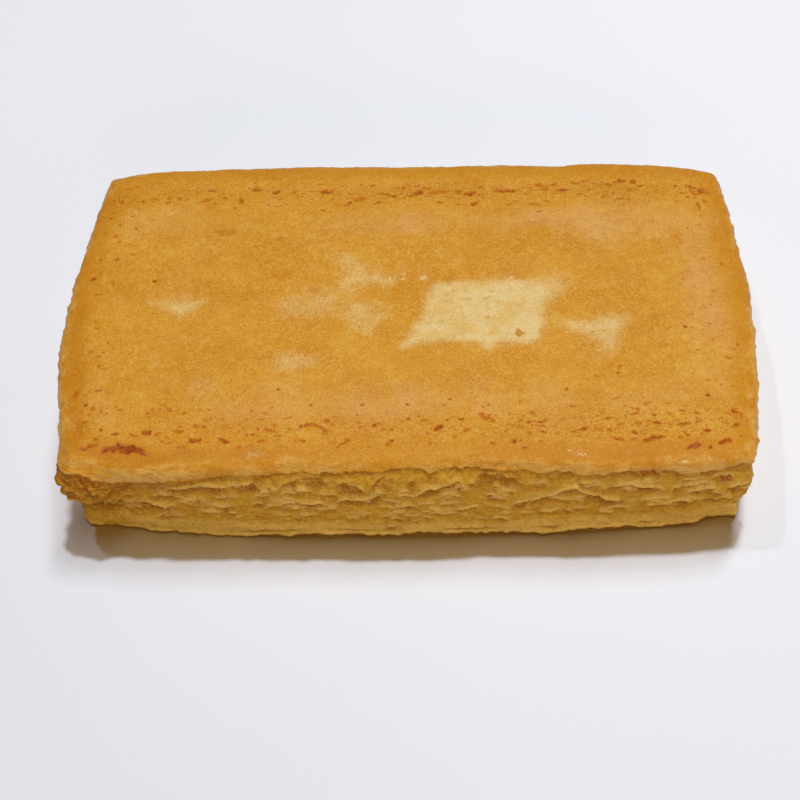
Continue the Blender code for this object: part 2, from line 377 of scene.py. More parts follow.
def unroll():
    """The side's relief, the painted shade of its hollows, the painted highlights of its lips, their redness, the line
    of the top crust's lower edge and the base's lift, each as a sheet of (along, up).
    """
    count = int(round(2 * HALF_ROUND / ALONG_STEP))
    along = (np.arange(count) * (2 * HALF_ROUND / count) - HALF_ROUND)[:, None]
    up = np.arange(UP_FROM, UP_TO, UP_STEP)[None, :]
    x, y = spot_at(along)
    front = 1 - smooth(48.0, 52.0, np.abs(along))
    end = smooth(49.0, 52.0, np.abs(x))
    calm = smooth(1.8, 5.0, up)  # the bottom crust is smoother than the layers above it
    torn = 1 - smooth(3.2, 7.5, np.hypot(x + 50.0, y + 30.5))

    # The lower edge of the top crust, and how far it is set back
    listed, back = (np.interp(along[:, 0], [p[0] for p in FRONT_RIM], [p[k] for p in FRONT_RIM])[:, None] for k in (1, 2))
    free = 15.4 + 0.35 * noise(x / 9, y / 9, 0.3, 7)
    lip = front * listed + (1 - front) * free
    lip = lip + 0.20 * noise(x / 2.1, y / 2.1, 1.7, 8) + 0.17 * noise(x / 0.9, y / 0.9, 5.7, 9)
    lip = lip + 0.10 * noise(x / 0.45, y / 0.45, 6.7, 11)
    back = front * back + (1 - front) * (1 - end) * np.clip(0.25 + 0.5 * noise(x / 8, y / 8, 2.3, 10), -0.1, 1.0)
    back = back + 0.12 * noise(x / 1.7, y / 1.7, 3.3, 15)

    # Soft bumps of the crumb
    relief = 0.24 * noise(x / 7, y / 7, up / 4.5, 13) * calm
    relief = relief + 0.18 * noise(x / 2.6, y / 2.6, up / 1.9, 14) * (0.3 + 0.7 * calm)
    relief = relief + 0.13 * noise(x / 1.1, y / 1.1, up / 0.9, 16) * (0.35 + 0.65 * calm)
    # Fine wrinkles, each a small step whose lower edge stands out
    tilt = 1.1 * noise(x / 7, y / 7, up / 6, 35) + 0.6 * noise(x / 2.4, y / 2.4, up / 1.7, 36)
    tilt = tilt + 0.22 * noise(x / 0.8, y / 0.8, up / 0.6, 37)
    wrinkle = np.mod((up + tilt) / 1.35, 1.0)
    some = calm * (1 - torn) * smooth(-0.6, 0.5, noise(x / 3.3, y / 3.3, up / 1.8, 38))
    relief = relief + 0.08 * (0.5 - wrinkle) * some
    # The bottom crust slopes out to a foot.
    relief = relief * (1 - 0.6 * torn) + 0.35 * smooth(5.0, 1.6, up) - 0.12 + 0.10 * (1 - front)

    # Under each lip the side draws back, then comes out again towards the next lip below.
    shape = (count, up.shape[1])
    depth, swell, dark, light, red = (np.zeros(shape) for _ in range(5))
    warp_a = 0.45 * noise(x / 1.9, y / 1.9, up / 1.5, 31) + 0.20 * noise(x / 0.7, y / 0.7, up / 0.7, 32)
    warp_u = (0.20 * noise(x / 1.5, y / 1.5, 2.2, 33) + 0.11 * noise(x / 0.6, y / 0.6, 7.2, 34)) * np.ones(shape)
    for number, (line, deep, fall, reddish) in enumerate(lips()):
        if number < len(FRONT_LIPS):
            line, fall = settled(line, fall, count, lip[:, 0], back[:, 0])
        xs, hs = [p[0] for p in line], [p[1] for p in line]
        first = int(math.floor((xs[0] - 1.0 + HALF_ROUND) / (2 * HALF_ROUND) * count))
        last = int(math.ceil((xs[-1] + 1.0 + HALF_ROUND) / (2 * HALF_ROUND) * count))
        columns = np.arange(first, last + 1) % count
        rows = np.nonzero((up[0] > min(hs) - 1.2 * fall - 3.0) & (up[0] < max(hs) + 4.5))[0]
        if not len(rows):
            continue
        window = np.ix_(columns, rows)
        at = (np.arange(first, last + 1) * (2 * HALF_ROUND / count) - HALF_ROUND)[:, None]
        long = xs[-1] - xs[0]
        size = min(1.0, long / 3.0)
        a = at + size * warp_a[window]
        bent = sum(np.interp(a + s, xs, hs) for s in (-0.45, -0.15, 0.15, 0.45)) / 4
        ramp = min(2.2, 0.38 * long)
        share = smooth(0.0, 1.0, (a - xs[0]) / ramp) * smooth(0.0, 1.0, (xs[-1] - a) / ramp)
        out = (0.14 + 0.28 * deep) * share
        into = 0.42 * deep * share**0.8
        veiled = SEEN_HIGHER * (out + into)  # how much of the hollow its lip hides from above
        down = bent + 1.25 * out + size * warp_u[window] - up[:, rows]
        under = smooth(-0.05, 0.20, down)
        depth[window] = np.maximum(depth[window], into * under * (1 - smooth(0.5 * veiled, veiled + fall, down)))
        over = smooth(0.20, -0.10, down)
        above = np.maximum(-down, 0.0)
        swell[window] = np.maximum(swell[window], out * over * np.exp(-((above / (0.50 + 0.60 * size)) ** 1.5)))
        # Painted shade under each lip, fading downwards, and a painted highlight on the lip itself
        strong = min(1.0, 0.30 + 0.85 * deep) * share**0.7
        t = (down - 0.9 * veiled) / (0.60 + 0.95 * fall)
        dark[window] = np.maximum(dark[window], strong * smooth(-0.05, 0.12, down) * (1 - smooth(-0.25, 1.0, t)))
        shine = min(1.0, 0.45 + 0.80 * deep) * share**0.6 * over * np.exp(-((above / (0.40 + 0.60 * size)) ** 1.5))
        light[window] = np.maximum(light[window], shine)
        red[window] = np.maximum(red[window], reddish * share * under * (1 - smooth(0.0, 0.6, t)))
    relief = relief + swell * (1 - 0.3 * end) - depth * (1 - 0.5 * light)
    # Painted highlights where each wrinkle stands out, painted shade in the recess under the next one up
    light = np.maximum(light, 0.22 * some * smooth(0.45, 0.0, wrinkle) * (1 - 0.8 * dark))
    dark = np.maximum(dark, 0.22 * some * smooth(0.40, 1.0, wrinkle)) * (1 - 0.75 * light)

    # The groove under the top crust, and the crust's own edge over it
    beneath = lip - up
    set_back = np.maximum(back, 0.0)
    thin = 1 / (1 + 1.1 * set_back)  # a step that lies flatter is seen broader
    groove = 0.17 + 0.17 * noise(x / 3.0, y / 3.0, 3.3, 41)
    groove = groove * np.exp(-((np.maximum(beneath, 0) / (0.25 + 0.55 * thin)) ** 1.5))
    relief = relief - (ledge_at(beneath, back) + groove) * smooth(-0.20, 0.26, beneath)
    # Painted shade in the groove under the crust's overhanging lower edge
    shade = np.exp(-((np.maximum(beneath - 0.75 * thin, 0) / (0.22 + 0.72 * thin)) ** 1.6))
    shade = shade * smooth(-0.10, 0.20, beneath) * np.clip(0.70 + 0.30 * noise(x / 2.0, y / 2.0, 8.3, 47), 0, 1)
    dark = np.maximum(dark, shade)
    # Where the crust is set back, the terrace under it gets a patchy painted highlight, with painted shade between the
    # patches
    fluff = smooth(-0.2, 0.5, noise(x / 1.6, y / 1.6, up / 0.9, 46))
    terrace = smooth(0.15, 0.8, ledge_at(beneath, back))
    light = np.maximum(light * (1 - 0.55 * terrace), 0.25 * fluff * terrace) * (1 - shade)
    dark = np.maximum(dark, 0.30 * terrace * (1 - fluff))
    # The left of the front is darker: weaker painted highlights and stronger painted shade.
    left = smooth(-30.0, -47.0, along) * front
    upper = smooth(6.5, 9.0, up)
    light = light * (1 - (0.25 + 0.35 * upper) * left)
    dark = dark + (0.20 + 0.28 * upper) * left * (1 - dark)
    crust = smooth(0.22, -0.20, beneath)
    crust_edge = 0.10 - back + 0.10 * noise(x / 3.1, y / 3.1, up / 2.0, 43) + 0.15 * (1 - front) + 0.15 * end
    crust_edge = crust_edge + 0.15 * noise(x / 1.3, y / 1.3, up / 0.6, 44) + 0.11 * noise(x / 0.5, y / 0.5, up / 0.4, 45)
    relief = relief * (1 - crust) + crust * crust_edge

    # How far the base's edge stands clear of the floor. That edge is thin, pale and ragged, and the smooth bottom crust
    # above it carries a painted highlight.
    lift = front * np.interp(along[:, 0], *zip(*FRONT_LIFT))[:, None]
    lift = lift + (1 - front) * (0.6 + 0.55 * noise(x / 6, y / 6, 9.1, 71))
    lift = np.clip(lift + 0.12 * noise(x / 1.9, y / 1.9, 9.5, 72) + 0.09 * noise(x / 0.6, y / 0.6, 9.9, 73), 0.05, 1.9)
    ragged = 0.22 * noise(x / 3.1, y / 3.1, 4.4, 53) + 0.15 * noise(x / 0.8, y / 0.8, 4.9, 54) + 0.25
    relief = relief + smooth(1.15, 0.55, up - lift) * ragged
    light = np.maximum(light, 0.95 * smooth(1.25, 0.6, up - lift))
    light = np.maximum(light, 0.60 * smooth(5.4, 2.8, up) * (1 - dark))

    # The torn left corner of the front: a flake stands out over layers that have broken away
    step = 8.6 + 0.5 * noise(x / 0.9, y / 0.9, 6.1, 61) + 0.3 * noise(x / 0.4, y / 0.4, 6.6, 67)
    flake = smooth(step - 0.1, step + 0.15, up) * (0.58 + 0.42 * smooth(step, step + 1.3, up))
    flake = flake * (0.42 + 0.58 * smooth(15.4, 12.4, up)) * smooth(16.4, 15.4, up)
    gone = smooth(step + 0.05, step - 0.2, up) * smooth(1.5, 7.5, up)
    torn_edge = 0.36 * noise(x / 0.8, y / 0.8, up / 0.75, 64) + 0.36 * noise(x / 0.5, y / 0.5, up / 0.45, 68)
    gone = gone * (1.0 + 0.45 * smooth(step - 2.8, step - 0.8, up))
    torn_edge = torn_edge * smooth(1.5, 3.5, up) * smooth(15.8, 15.0, up)
    relief = relief + torn * (2.1 * flake - 1.9 * gone + torn_edge)
    # Painted shade under the flake; the flake itself is patchily darker and redder, with fewer highlights.
    dark = np.maximum(dark, torn * 0.8 * smooth(step + 0.05, step - 0.3, up) * smooth(step - 2.0, step - 0.5, up))
    patchy = smooth(-0.4, 0.5, noise(x / 1.5, y / 1.5, up / 1.1, 69))
    dark = np.maximum(dark, torn * (0.30 + 0.60 * patchy) * smooth(step - 0.2, step + 0.4, up))
    red = np.maximum(red, torn * 0.75 * patchy * smooth(10.0, 12.5, up))
    light = light * (1 - 0.5 * torn)
    # The right corner of the front is cut back in steps towards the base.
    worn = 1 - smooth(2.5, 6.5, np.hypot(x - 50.0, y + 30.5))
    step = 7.7 + 0.35 * noise(x / 0.9, y / 0.9, 6.9, 62)
    low_step = 5.2 + 0.3 * noise(x / 0.8, y / 0.8, 7.9, 63)
    relief = relief + worn * (
        0.55 * smooth(13.5, 10.0, up) * smooth(step - 0.1, step + 0.15, up)
        - 0.50 * smooth(step + 0.1, step - 0.15, up)
        - 0.30 * smooth(low_step + 0.1, low_step - 0.15, up)
        - 0.15 * smooth(4.4, 1.8, up)
    )
    # Both ends have a ragged outline.
    jag = 0.20 * noise(x / 1.3, y / 1.3, up / 0.8, 65) + 0.16 * noise(x / 0.6, y / 0.6, up / 0.5, 66)
    relief = relief + smooth(45.0, 50.0, np.abs(x)) * jag * smooth(1.0, 3.0, up) * (1 - 0.75 * crust)

    sheets = {
        "relief": relief,
        "dark": dark,
        "light": light,
        "red": red,
        "lip": np.broadcast_to(lip, relief.shape),
        "lift": np.broadcast_to(lift, relief.shape),
    }
    return {k: np.ascontiguousarray(v, np.float32) for k, v in sheets.items()}


def read_sheet(sheet, along, up):
    """A sheet's value at any distance round the bar and any height."""
    count, rows = sheet.shape
    a = (along + HALF_ROUND) / (2 * HALF_ROUND) * count
    b = np.clip((up - UP_FROM) / UP_STEP, 0, rows - 1.001)
    a0, b0 = np.floor(a).astype(np.int32), np.floor(b).astype(np.int32)
    ta, tb = (a - a0).astype(np.float32), (b - b0).astype(np.float32)
    a1, a0 = (a0 + 1) % count, a0 % count
    low = sheet[a0, b0] * (1 - ta) + sheet[a1, b0] * ta
    high = sheet[a0, b0 + 1] * (1 - ta) + sheet[a1, b0 + 1] * ta
    return low * (1 - tb) + high * tb


# ---------------------------------------------------------------- the top

# Pits in the top crust: (x, y, half length, half width, turn, strength)
TOP_PITS = (
    (-51.0, -17.3, 0.44, 0.60, 0.0, 0.60), (-49.2, -19.5, 0.33, 0.24, -0.3, 0.90),
    (-48.0, -20.1, 0.57, 0.32, -0.3, 0.60), (-46.5, -20.2, 0.22, 0.17, 0.0, 0.50),
    (-45.6, -20.2, 0.22, 0.17, 0.0, 0.50), (-44.3, -20.1, 0.29, 0.17, 0.0, 0.50),
    (-36.9, -19.9, 0.65, 0.20, -0.3, 0.50), (-37.5, -20.7, 0.22, 0.17, 0.0, 0.80),
    (-49.9, -22.9, 0.65, 0.24, -0.3, 0.50), (-46.1, -24.2, 0.32, 0.16, -0.3, 0.80),
    (-43.9, -25.0, 0.66, 0.19, 0.3, 0.70), (-41.0, -25.2, 1.04, 0.23, -0.3, 0.60),
    (-38.9, -24.9, 0.79, 0.49, 0.0, 0.75), (-37.2, -25.1, 0.59, 0.23, 0.3, 0.50),
    (-34.4, -24.6, 0.80, 0.31, -0.3, 0.60), (-30.3, -23.9, 0.43, 0.33, 0.0, 0.70),
    (-27.3, -23.9, 1.11, 0.19, -0.3, 0.50), (-27.8, -22.7, 0.40, 0.16, -0.3, 0.60),
    (-24.5, -24.2, 0.36, 0.16, 0.0, 0.50), (-22.9, -25.4, 0.30, 0.19, 0.3, 0.80),
    (-31.2, -26.3, 1.00, 0.49, 0.0, 0.75), (-27.3, -26.3, 1.02, 0.46, -0.3, 0.75),
    (-24.8, -27.4, 0.47, 0.30, -0.3, 0.50), (-33.2, -27.4, 0.55, 0.23, -0.3, 0.60),
    (-35.4, -26.7, 0.88, 0.23, 0.3, 0.45), (-36.5, -26.4, 0.29, 0.24, 0.0, 0.60),
    (-32.7, -26.7, 0.21, 0.16, 0.0, 0.60), (-45.1, -27.8, 0.65, 0.28, 0.3, 1.00),
    (-43.6, -27.4, 0.58, 0.38, 0.3, 0.90), (-41.8, -27.4, 1.70, 0.72, -0.3, 1.00),
    (-39.4, -28.2, 1.11, 0.38, -0.3, 0.95), (-47.3, -27.0, 1.24, 0.35, 0.3, 0.70),
    (-48.2, -27.6, 0.44, 0.16, 0.3, 0.90), (-49.1, -25.1, 0.29, 0.83, 0.0, 0.40),
    (-22.1, -26.5, 0.29, 0.16, 0.0, 0.50), (-14.4, -20.2, 0.38, 0.16, 0.3, 0.70), (0.3, -20.2, 0.29, 0.21, 0.0, 0.80),
    (2.0, -22.2, 0.18, 0.16, 0.0, 0.60), (0.4, -22.9, 0.29, 0.16, 0.0, 0.80), (2.8, -23.1, 0.68, 0.16, 0.3, 0.50),
    (-17.8, -22.4, 0.90, 0.23, 0.3, 0.60), (-21.2, -21.6, 0.51, 0.17, 0.0, 0.50),
    (-20.1, -24.6, 1.17, 0.27, -0.3, 0.60), (-15.7, -24.0, 0.45, 0.27, 0.3, 0.85),
    (-14.8, -23.7, 0.36, 0.33, 0.0, 0.75), (-13.7, -23.8, 1.09, 0.28, -0.4, 0.60),
    (-12.5, -24.2, 0.46, 0.23, -0.4, 0.60), (-12.0, -24.8, 0.37, 0.23, 0.3, 0.85),
    (-6.7, -24.1, 0.45, 0.19, 0.3, 0.75), (-4.6, -23.8, 0.31, 0.23, -0.4, 0.85), (-3.3, -24.5, 0.36, 0.24, 0.0, 0.70),
    (-5.9, -24.8, 0.21, 0.24, 0.0, 0.50), (-7.8, -24.8, 0.36, 0.16, 0.0, 0.50), (4.7, -24.5, 0.75, 0.38, 0.3, 0.80),
    (3.2, -25.4, 0.35, 0.16, 0.0, 0.60), (1.3, -26.0, 0.45, 0.16, 0.3, 0.50), (-21.6, -26.4, 0.66, 0.23, 0.3, 0.65),
    (-16.1, -26.4, 0.74, 0.23, 0.3, 0.50), (-15.2, -26.6, 0.39, 0.23, -0.3, 0.75),
    (-9.2, -27.0, 0.67, 0.23, 0.3, 0.65), (-10.1, -27.7, 0.37, 0.19, 0.3, 0.60), (-2.7, -27.2, 0.35, 0.24, 0.0, 0.70),
    (-2.1, -26.7, 0.37, 0.23, 0.3, 0.75), (-5.5, -27.6, 0.21, 0.16, 0.0, 0.50), (3.7, -27.3, 0.35, 0.16, 0.0, 0.50),
    (1.8, -27.3, 0.21, 0.16, 0.0, 0.40), (6.7, -19.3, 0.31, 0.16, 0.3, 0.70), (-17.1, -20.2, 0.29, 0.17, 0.0, 0.50),
    (-17.3, -24.4, 0.36, 0.16, 0.0, 0.60), (12.5, -20.5, 0.21, 0.17, 0.0, 0.60), (8.3, -23.0, 0.45, 0.16, 0.3, 0.80),
    (11.3, -22.2, 0.53, 0.38, -0.4, 0.65), (12.2, -22.7, 0.68, 0.23, -0.4, 0.65),
    (13.1, -23.3, 0.35, 0.16, 0.0, 0.75), (19.2, -22.0, 0.82, 0.19, -0.4, 0.60), (17.3, -23.3, 0.38, 0.19, 0.3, 0.75),
    (18.3, -23.7, 0.30, 0.16, 0.3, 0.75), (20.2, -23.7, 0.63, 0.16, 0.0, 0.75), (16.1, -24.1, 0.42, 0.24, 0.0, 0.50),
    (15.0, -25.0, 0.42, 0.24, 0.0, 0.45), (9.1, -24.8, 0.45, 0.31, 0.3, 0.65), (8.2, -25.4, 0.30, 0.16, 0.3, 0.60),
    (7.3, -25.8, 0.21, 0.24, 0.0, 0.60), (11.3, -25.6, 0.35, 0.16, 0.0, 0.45), (18.4, -25.6, 0.49, 0.40, 0.0, 0.50),
    (20.5, -25.4, 0.44, 0.23, -0.4, 0.80), (25.2, -25.3, 0.68, 0.23, 0.3, 0.65), (26.5, -24.8, 0.61, 0.27, 0.3, 0.75),
    (16.1, -26.8, 0.37, 0.45, -0.4, 0.75), (12.9, -27.2, 0.45, 0.22, -0.4, 0.80),
    (17.6, -28.0, 0.49, 0.16, 0.0, 0.80), (17.1, -26.7, 0.22, 0.16, -0.4, 0.50), (22.5, -25.7, 0.49, 0.32, 0.0, 0.45),
    (6.5, -23.8, 0.43, 0.24, 0.0, 0.40), (29.0, -15.3, 0.45, 0.16, -0.4, 0.60), (32.3, -14.7, 0.22, 0.21, 0.0, 0.80),
    (32.7, -13.4, 0.24, 0.16, 0.3, 0.70), (24.3, -17.8, 0.21, 0.42, 0.0, 0.60), (31.8, -19.4, 0.93, 0.16, 0.3, 0.50),
    (26.9, -21.9, 0.28, 0.25, 0.0, 0.50), (28.7, -22.7, 0.18, 0.16, 0.0, 0.80), (30.2, -23.0, 0.53, 0.19, 0.3, 0.80),
    (34.0, -22.3, 0.77, 0.23, 0.3, 0.65), (32.2, -24.0, 0.69, 0.19, 0.3, 0.60), (36.3, -23.6, 0.42, 0.16, 0.0, 0.75),
    (37.4, -24.0, 0.65, 0.23, -0.4, 0.80), (41.1, -24.3, 0.99, 0.23, 0.3, 0.65), (43.3, -23.2, 0.28, 0.16, 0.0, 0.60),
    (45.5, -19.0, 0.36, 0.35, -0.4, 0.80), (47.5, -17.1, 0.23, 0.24, 0.3, 0.60), (49.1, -17.2, 0.28, 0.17, 0.0, 0.50),
    (41.8, -16.9, 0.28, 0.25, 0.0, 0.45), (44.9, -21.7, 0.56, 0.16, 0.0, 0.50), (46.7, -21.7, 0.35, 0.16, 0.0, 0.50),
    (49.1, -22.0, 0.42, 0.33, 0.0, 0.85), (49.2, -24.2, 0.84, 0.27, 0.3, 0.75), (44.7, -25.3, 0.53, 0.34, 0.3, 0.85),
    (46.8, -23.2, 0.38, 0.23, 0.3, 0.55), (30.4, -25.0, 0.49, 0.32, 0.0, 0.60), (28.9, -25.1, 0.35, 0.16, 0.0, 0.50),
    (34.0, -25.5, 0.44, 0.30, -0.4, 0.75), (35.6, -25.2, 0.42, 0.16, 0.0, 0.50),
    (31.5, -26.6, 1.16, 0.26, -0.4, 0.55), (36.5, -26.7, 1.51, 0.38, 0.3, 0.80), (41.6, -26.0, 0.42, 0.24, 0.0, 0.75),
    (42.1, -28.0, 1.28, 0.30, 0.3, 0.80), (44.8, -28.1, 0.34, 0.28, 0.0, 0.85), (46.9, -27.2, 1.14, 0.45, 0.3, 0.80),
    (39.0, -22.2, 0.28, 0.16, 0.0, 0.50), (-48.4, 25.7, 0.83, 0.43, 0.0, 0.55), (-43.6, 25.2, 0.41, 0.32, 0.0, 0.40),
    (-42.8, 26.9, 0.83, 0.32, 0.0, 0.35), (-49.0, 22.8, 0.66, 0.32, 0.0, 0.60), (-45.3, 22.4, 0.37, 0.24, -0.4, 0.80),
    (-43.6, 23.1, 0.49, 0.32, 0.0, 0.50), (-50.6, 19.2, 0.24, 0.31, 0.0, 0.75), (-48.6, 17.3, 0.37, 0.29, -0.4, 0.65),
    (-45.8, 16.4, 0.20, 0.20, 0.0, 0.90), (-41.1, 22.2, 0.42, 0.39, 0.4, 0.65), (-39.1, 23.2, 0.41, 0.32, 0.0, 0.70),
    (-34.8, 22.6, 1.26, 0.29, 0.4, 0.60), (-34.4, 24.9, 0.33, 0.26, 0.0, 0.70), (-26.1, 25.0, 0.82, 0.42, 0.0, 0.80),
    (-22.8, 24.2, 0.73, 0.42, 0.0, 0.75), (-28.5, 22.3, 0.41, 0.63, 0.0, 0.65), (-19.0, 23.4, 0.32, 0.31, 0.0, 0.55),
    (-14.2, 24.2, 1.05, 0.47, 0.0, 0.80), (-30.5, 15.3, 2.08, 0.71, 0.0, 0.50), (-21.5, 13.6, 1.11, 0.50, 0.0, 0.40),
    (-49.2, 14.9, 0.40, 0.51, 0.0, 0.55), (-48.1, 9.7, 0.40, 0.40, 0.0, 0.65), (-51.0, 9.9, 0.32, 0.30, 0.0, 0.50),
    (-26.4, 26.5, 0.25, 0.21, 0.0, 0.60), (-22.2, 20.8, 1.13, 0.21, 0.0, 0.50), (-14.5, 19.9, 0.64, 0.26, 0.0, 0.60),
    (-18.7, 21.5, 0.24, 0.21, 0.0, 0.50), (-37.8, 20.3, 0.49, 0.52, 0.0, 0.35), (-11.5, 25.7, 0.24, 0.26, 0.0, 0.70),
    (-8.3, 25.7, 0.24, 0.26, 0.0, 0.75), (-6.4, 25.7, 0.49, 0.26, 0.0, 0.80), (-8.7, 22.4, 1.13, 0.62, 0.0, 0.60),
    (-10.0, 21.5, 0.48, 0.31, 0.0, 0.75), (-3.0, 23.0, 1.06, 0.29, -0.4, 0.80), (-0.1, 23.0, 0.44, 0.29, -0.4, 0.65),
    (1.6, 23.8, 0.97, 0.63, 0.0, 0.85), (3.1, 24.7, 0.81, 0.31, 0.0, 0.60), (4.1, 23.5, 0.80, 0.31, 0.0, 0.60),
    (5.1, 24.0, 0.80, 0.26, 0.0, 0.70), (8.4, 23.9, 0.64, 0.21, 0.0, 0.70), (10.2, 23.3, 1.12, 0.44, 0.4, 0.85),
    (12.5, 22.1, 0.52, 0.28, -0.4, 0.50), (16.1, 23.8, 1.60, 0.42, 0.0, 0.80), (5.1, 21.2, 0.48, 0.31, 0.0, 0.70),
    (7.9, 20.7, 0.72, 0.31, 0.0, 0.60), (11.0, 20.9, 0.69, 0.38, 0.4, 0.80), (-4.4, 20.2, 0.56, 0.21, 0.0, 0.50),
    (14.8, 19.4, 0.71, 0.25, 0.0, 0.55), (-1.1, 24.9, 0.86, 0.29, 0.4, 0.40), (-14.6, 19.8, 0.48, 0.21, 0.0, 0.55),
    (21.3, 20.3, 0.47, 0.20, 0.0, 0.60), (22.5, 24.8, 0.96, 0.31, 0.0, 0.60), (20.6, 24.4, 0.32, 0.21, 0.0, 0.50),
    (27.8, 25.5, 0.94, 0.24, -0.4, 0.65), (25.6, 23.7, 0.80, 0.52, 0.0, 0.85), (30.1, 24.0, 0.48, 0.31, 0.0, 0.60),
    (33.5, 24.9, 0.68, 0.29, -0.4, 0.80), (32.4, 25.4, 0.43, 0.19, -0.4, 0.50), (35.7, 25.8, 0.80, 0.42, 0.0, 0.85),
    (37.6, 25.5, 0.64, 0.42, 0.0, 0.85), (41.1, 26.6, 0.80, 0.21, 0.0, 0.50), (40.6, 24.5, 0.40, 0.21, 0.0, 0.50),
    (44.6, 24.4, 0.32, 0.31, 0.0, 0.60), (47.4, 24.1, 0.75, 0.33, -0.4, 0.70), (46.5, 24.6, 0.32, 0.21, 0.0, 0.50),
    (48.8, 23.2, 0.50, 0.47, -0.4, 0.90), (49.8, 22.9, 0.55, 0.31, 0.0, 0.70), (48.1, 19.6, 0.23, 0.81, 0.0, 0.75),
    (35.2, 21.5, 0.79, 0.26, 0.0, 0.60), (32.1, 20.8, 1.58, 0.31, 0.0, 0.40), (42.5, 22.9, 0.47, 0.62, 0.0, 0.40),
    (23.0, 21.1, 0.68, 0.28, -0.4, 0.55), (21.4, 20.3, 0.63, 0.20, 0.0, 0.55), (21.5, 18.8, 0.79, 0.25, 0.0, 0.50),
    (47.6, 26.4, 0.32, 0.32, 0.0, 0.45), (-51.6, 5.8, 0.79, 0.39, 0.0, 0.80), (-41.2, 4.6, 0.39, 0.29, 0.0, 0.75),
    (-47.7, -9.7, 0.23, 0.18, 0.0, 0.60), (-19.6, -17.3, 0.22, 0.25, 0.0, 0.70), (43.2, -6.1, 0.38, 0.25, -0.4, 0.75),
    (48.9, -6.8, 0.22, 0.18, 0.0, 0.60), (51.0, -9.4, 0.22, 0.44, 0.0, 0.60), (48.7, -3.8, 0.22, 0.18, 0.0, 0.50),
    (37.7, -7.9, 0.29, 0.18, 0.0, 0.50), (32.5, -13.9, 0.18, 0.17, 0.0, 0.50), (50.5, 7.1, 0.23, 0.38, 0.0, 0.60),
    (47.3, 5.9, 0.23, 0.19, 0.0, 0.50), (48.1, 17.4, 0.23, 0.40, 0.0, 0.50), (52.2, 13.9, 0.18, 0.40, 0.0, 0.50),
    (41.1, 3.4, 0.30, 0.19, 0.0, 0.40),
    (-42.2, -27.6, 3.30, 0.55, -0.08, 0.80), (17.5, -6.7, 0.80, 0.66, -0.4, 0.55), (20.2, -8.4, 0.70, 0.25, -0.2, 0.30),
    (3.4, -4.6, 0.62, 0.34, 0.0, 0.35), (5.2, -4.3, 0.50, 0.28, 0.0, 0.29), (9.6, 0.1, 0.60, 0.30, 0.0, 0.30),
    (12.4, -3.6, 0.55, 0.34, 0.0, 0.28), (6.4, 0.9, 0.30, 0.22, 0.0, 0.37), (18.5, -0.8, 0.46, 0.30, 0.0, 0.25),
    (16.0, 1.5, 0.34, 0.22, 0.0, 0.31), (16.4, -2.0, 0.28, 0.20, 0.0, 0.30), (9.3, -3.6, 0.34, 0.24, 0.0, 0.25),
)
# Pale patches where the crust hardly browned. The clearest are given by their corners, with how pale they
# are and how soft their edges are in millimetres.
PALE_SHAPES = (
    (
        ((4.6, 3.0), (5.8, 3.6), (10.0, 3.7), (16.4, 4.1), (19.8, 3.7), (21.6, 1.8), (21.8, 0.0), (21.6, -2.7),
         (21.0, -5.5), (20.2, -7.8), (19.4, -8.7), (17.6, -8.7), (15.3, -8.0), (14.0, -8.3), (12.7, -9.7),
         (11.8, -9.1), (10.8, -8.1), (5.9, -8.0), (1.1, -8.7), (-1.1, -9.6), (-0.3, -8.1), (1.8, -4.4), (3.4, -1.0),
         (4.2, 2.0)),
        0.93, 2.0,
    ),
    (
        ((4.6, 2.4), (11.0, 3.4), (19.0, 4.2), (23.6, 3.6), (24.0, 0.0), (23.0, -5.0), (20.6, -8.2), (12.4, -8.8),
         (1.4, -8.4), (3.4, -3.0)),
        0.30, 3.0,
    ),
    (((-42.0, 0.8), (-36.8, 1.2), (-31.4, 0.8), (-34.2, -1.2), (-36.4, -3.4), (-38.8, -1.4)), 0.54, 1.6),
    (
        ((24.1, -4.4), (25.1, -4.0), (26.5, -3.9), (28.6, -3.9), (30.0, -3.0), (31.8, -2.9), (34.0, -4.2),
         (33.4, -7.0), (32.8, -9.0), (31.8, -10.2), (30.0, -9.8), (28.6, -8.4), (27.0, -7.4), (25.6, -6.8), (24.6, -5.8)),
        0.56, 2.4,
    ),
)
# The faint ones are ovals: (x, y, half length, half width, turn, paleness, softness)
PALE = (
    (24.0, 2.6, 3.4, 3.0, 0.1, 0.30, 1.3),
    (-16.4, -1.2, 4.6, 2.8, 0.1, 0.33, 1.3),
    (-7.6, 5.2, 3.4, 2.6, 0.3, 0.41, 1.2),
    (-3.4, 4.0, 2.0, 1.2, 0.0, 0.34, 1.1),
    (-10.2, 8.6, 2.0, 3.0, 0.5, 0.29, 1.3),
    (-7.4, -2.8, 3.8, 3.2, 0.2, 0.42, 1.2),
    (-12.5, 1.6, 5.0, 2.0, 0.2, 0.24, 1.3),
    (-16.6, -12.0, 4.2, 1.9, 0.0, 0.36, 1.4),
    (-26.4, -7.0, 2.2, 1.6, 0.0, 0.14, 1.3),
    (34.6, -5.2, 2.4, 1.8, 0.0, 0.18, 1.3),
    (29.0, -10.8, 3.2, 1.6, 0.0, 0.16, 1.3),
    (-30.5, -16.0, 2.8, 1.8, 0.0, 0.22, 1.3),
    (12.0, -14.0, 2.2, 2.6, 0.0, 0.20, 1.4),
    (-39.0, -11.0, 2.8, 1.8, 0.0, 0.15, 1.4),
    (35.0, 14.0, 11.0, 6.0, 0.1, 0.16, 1.7),
    (44.0, -13.0, 5.0, 7.0, 0.0, 0.14, 1.6),
    (44.0, 4.0, 4.0, 8.0, 0.0, 0.12, 1.6),
)


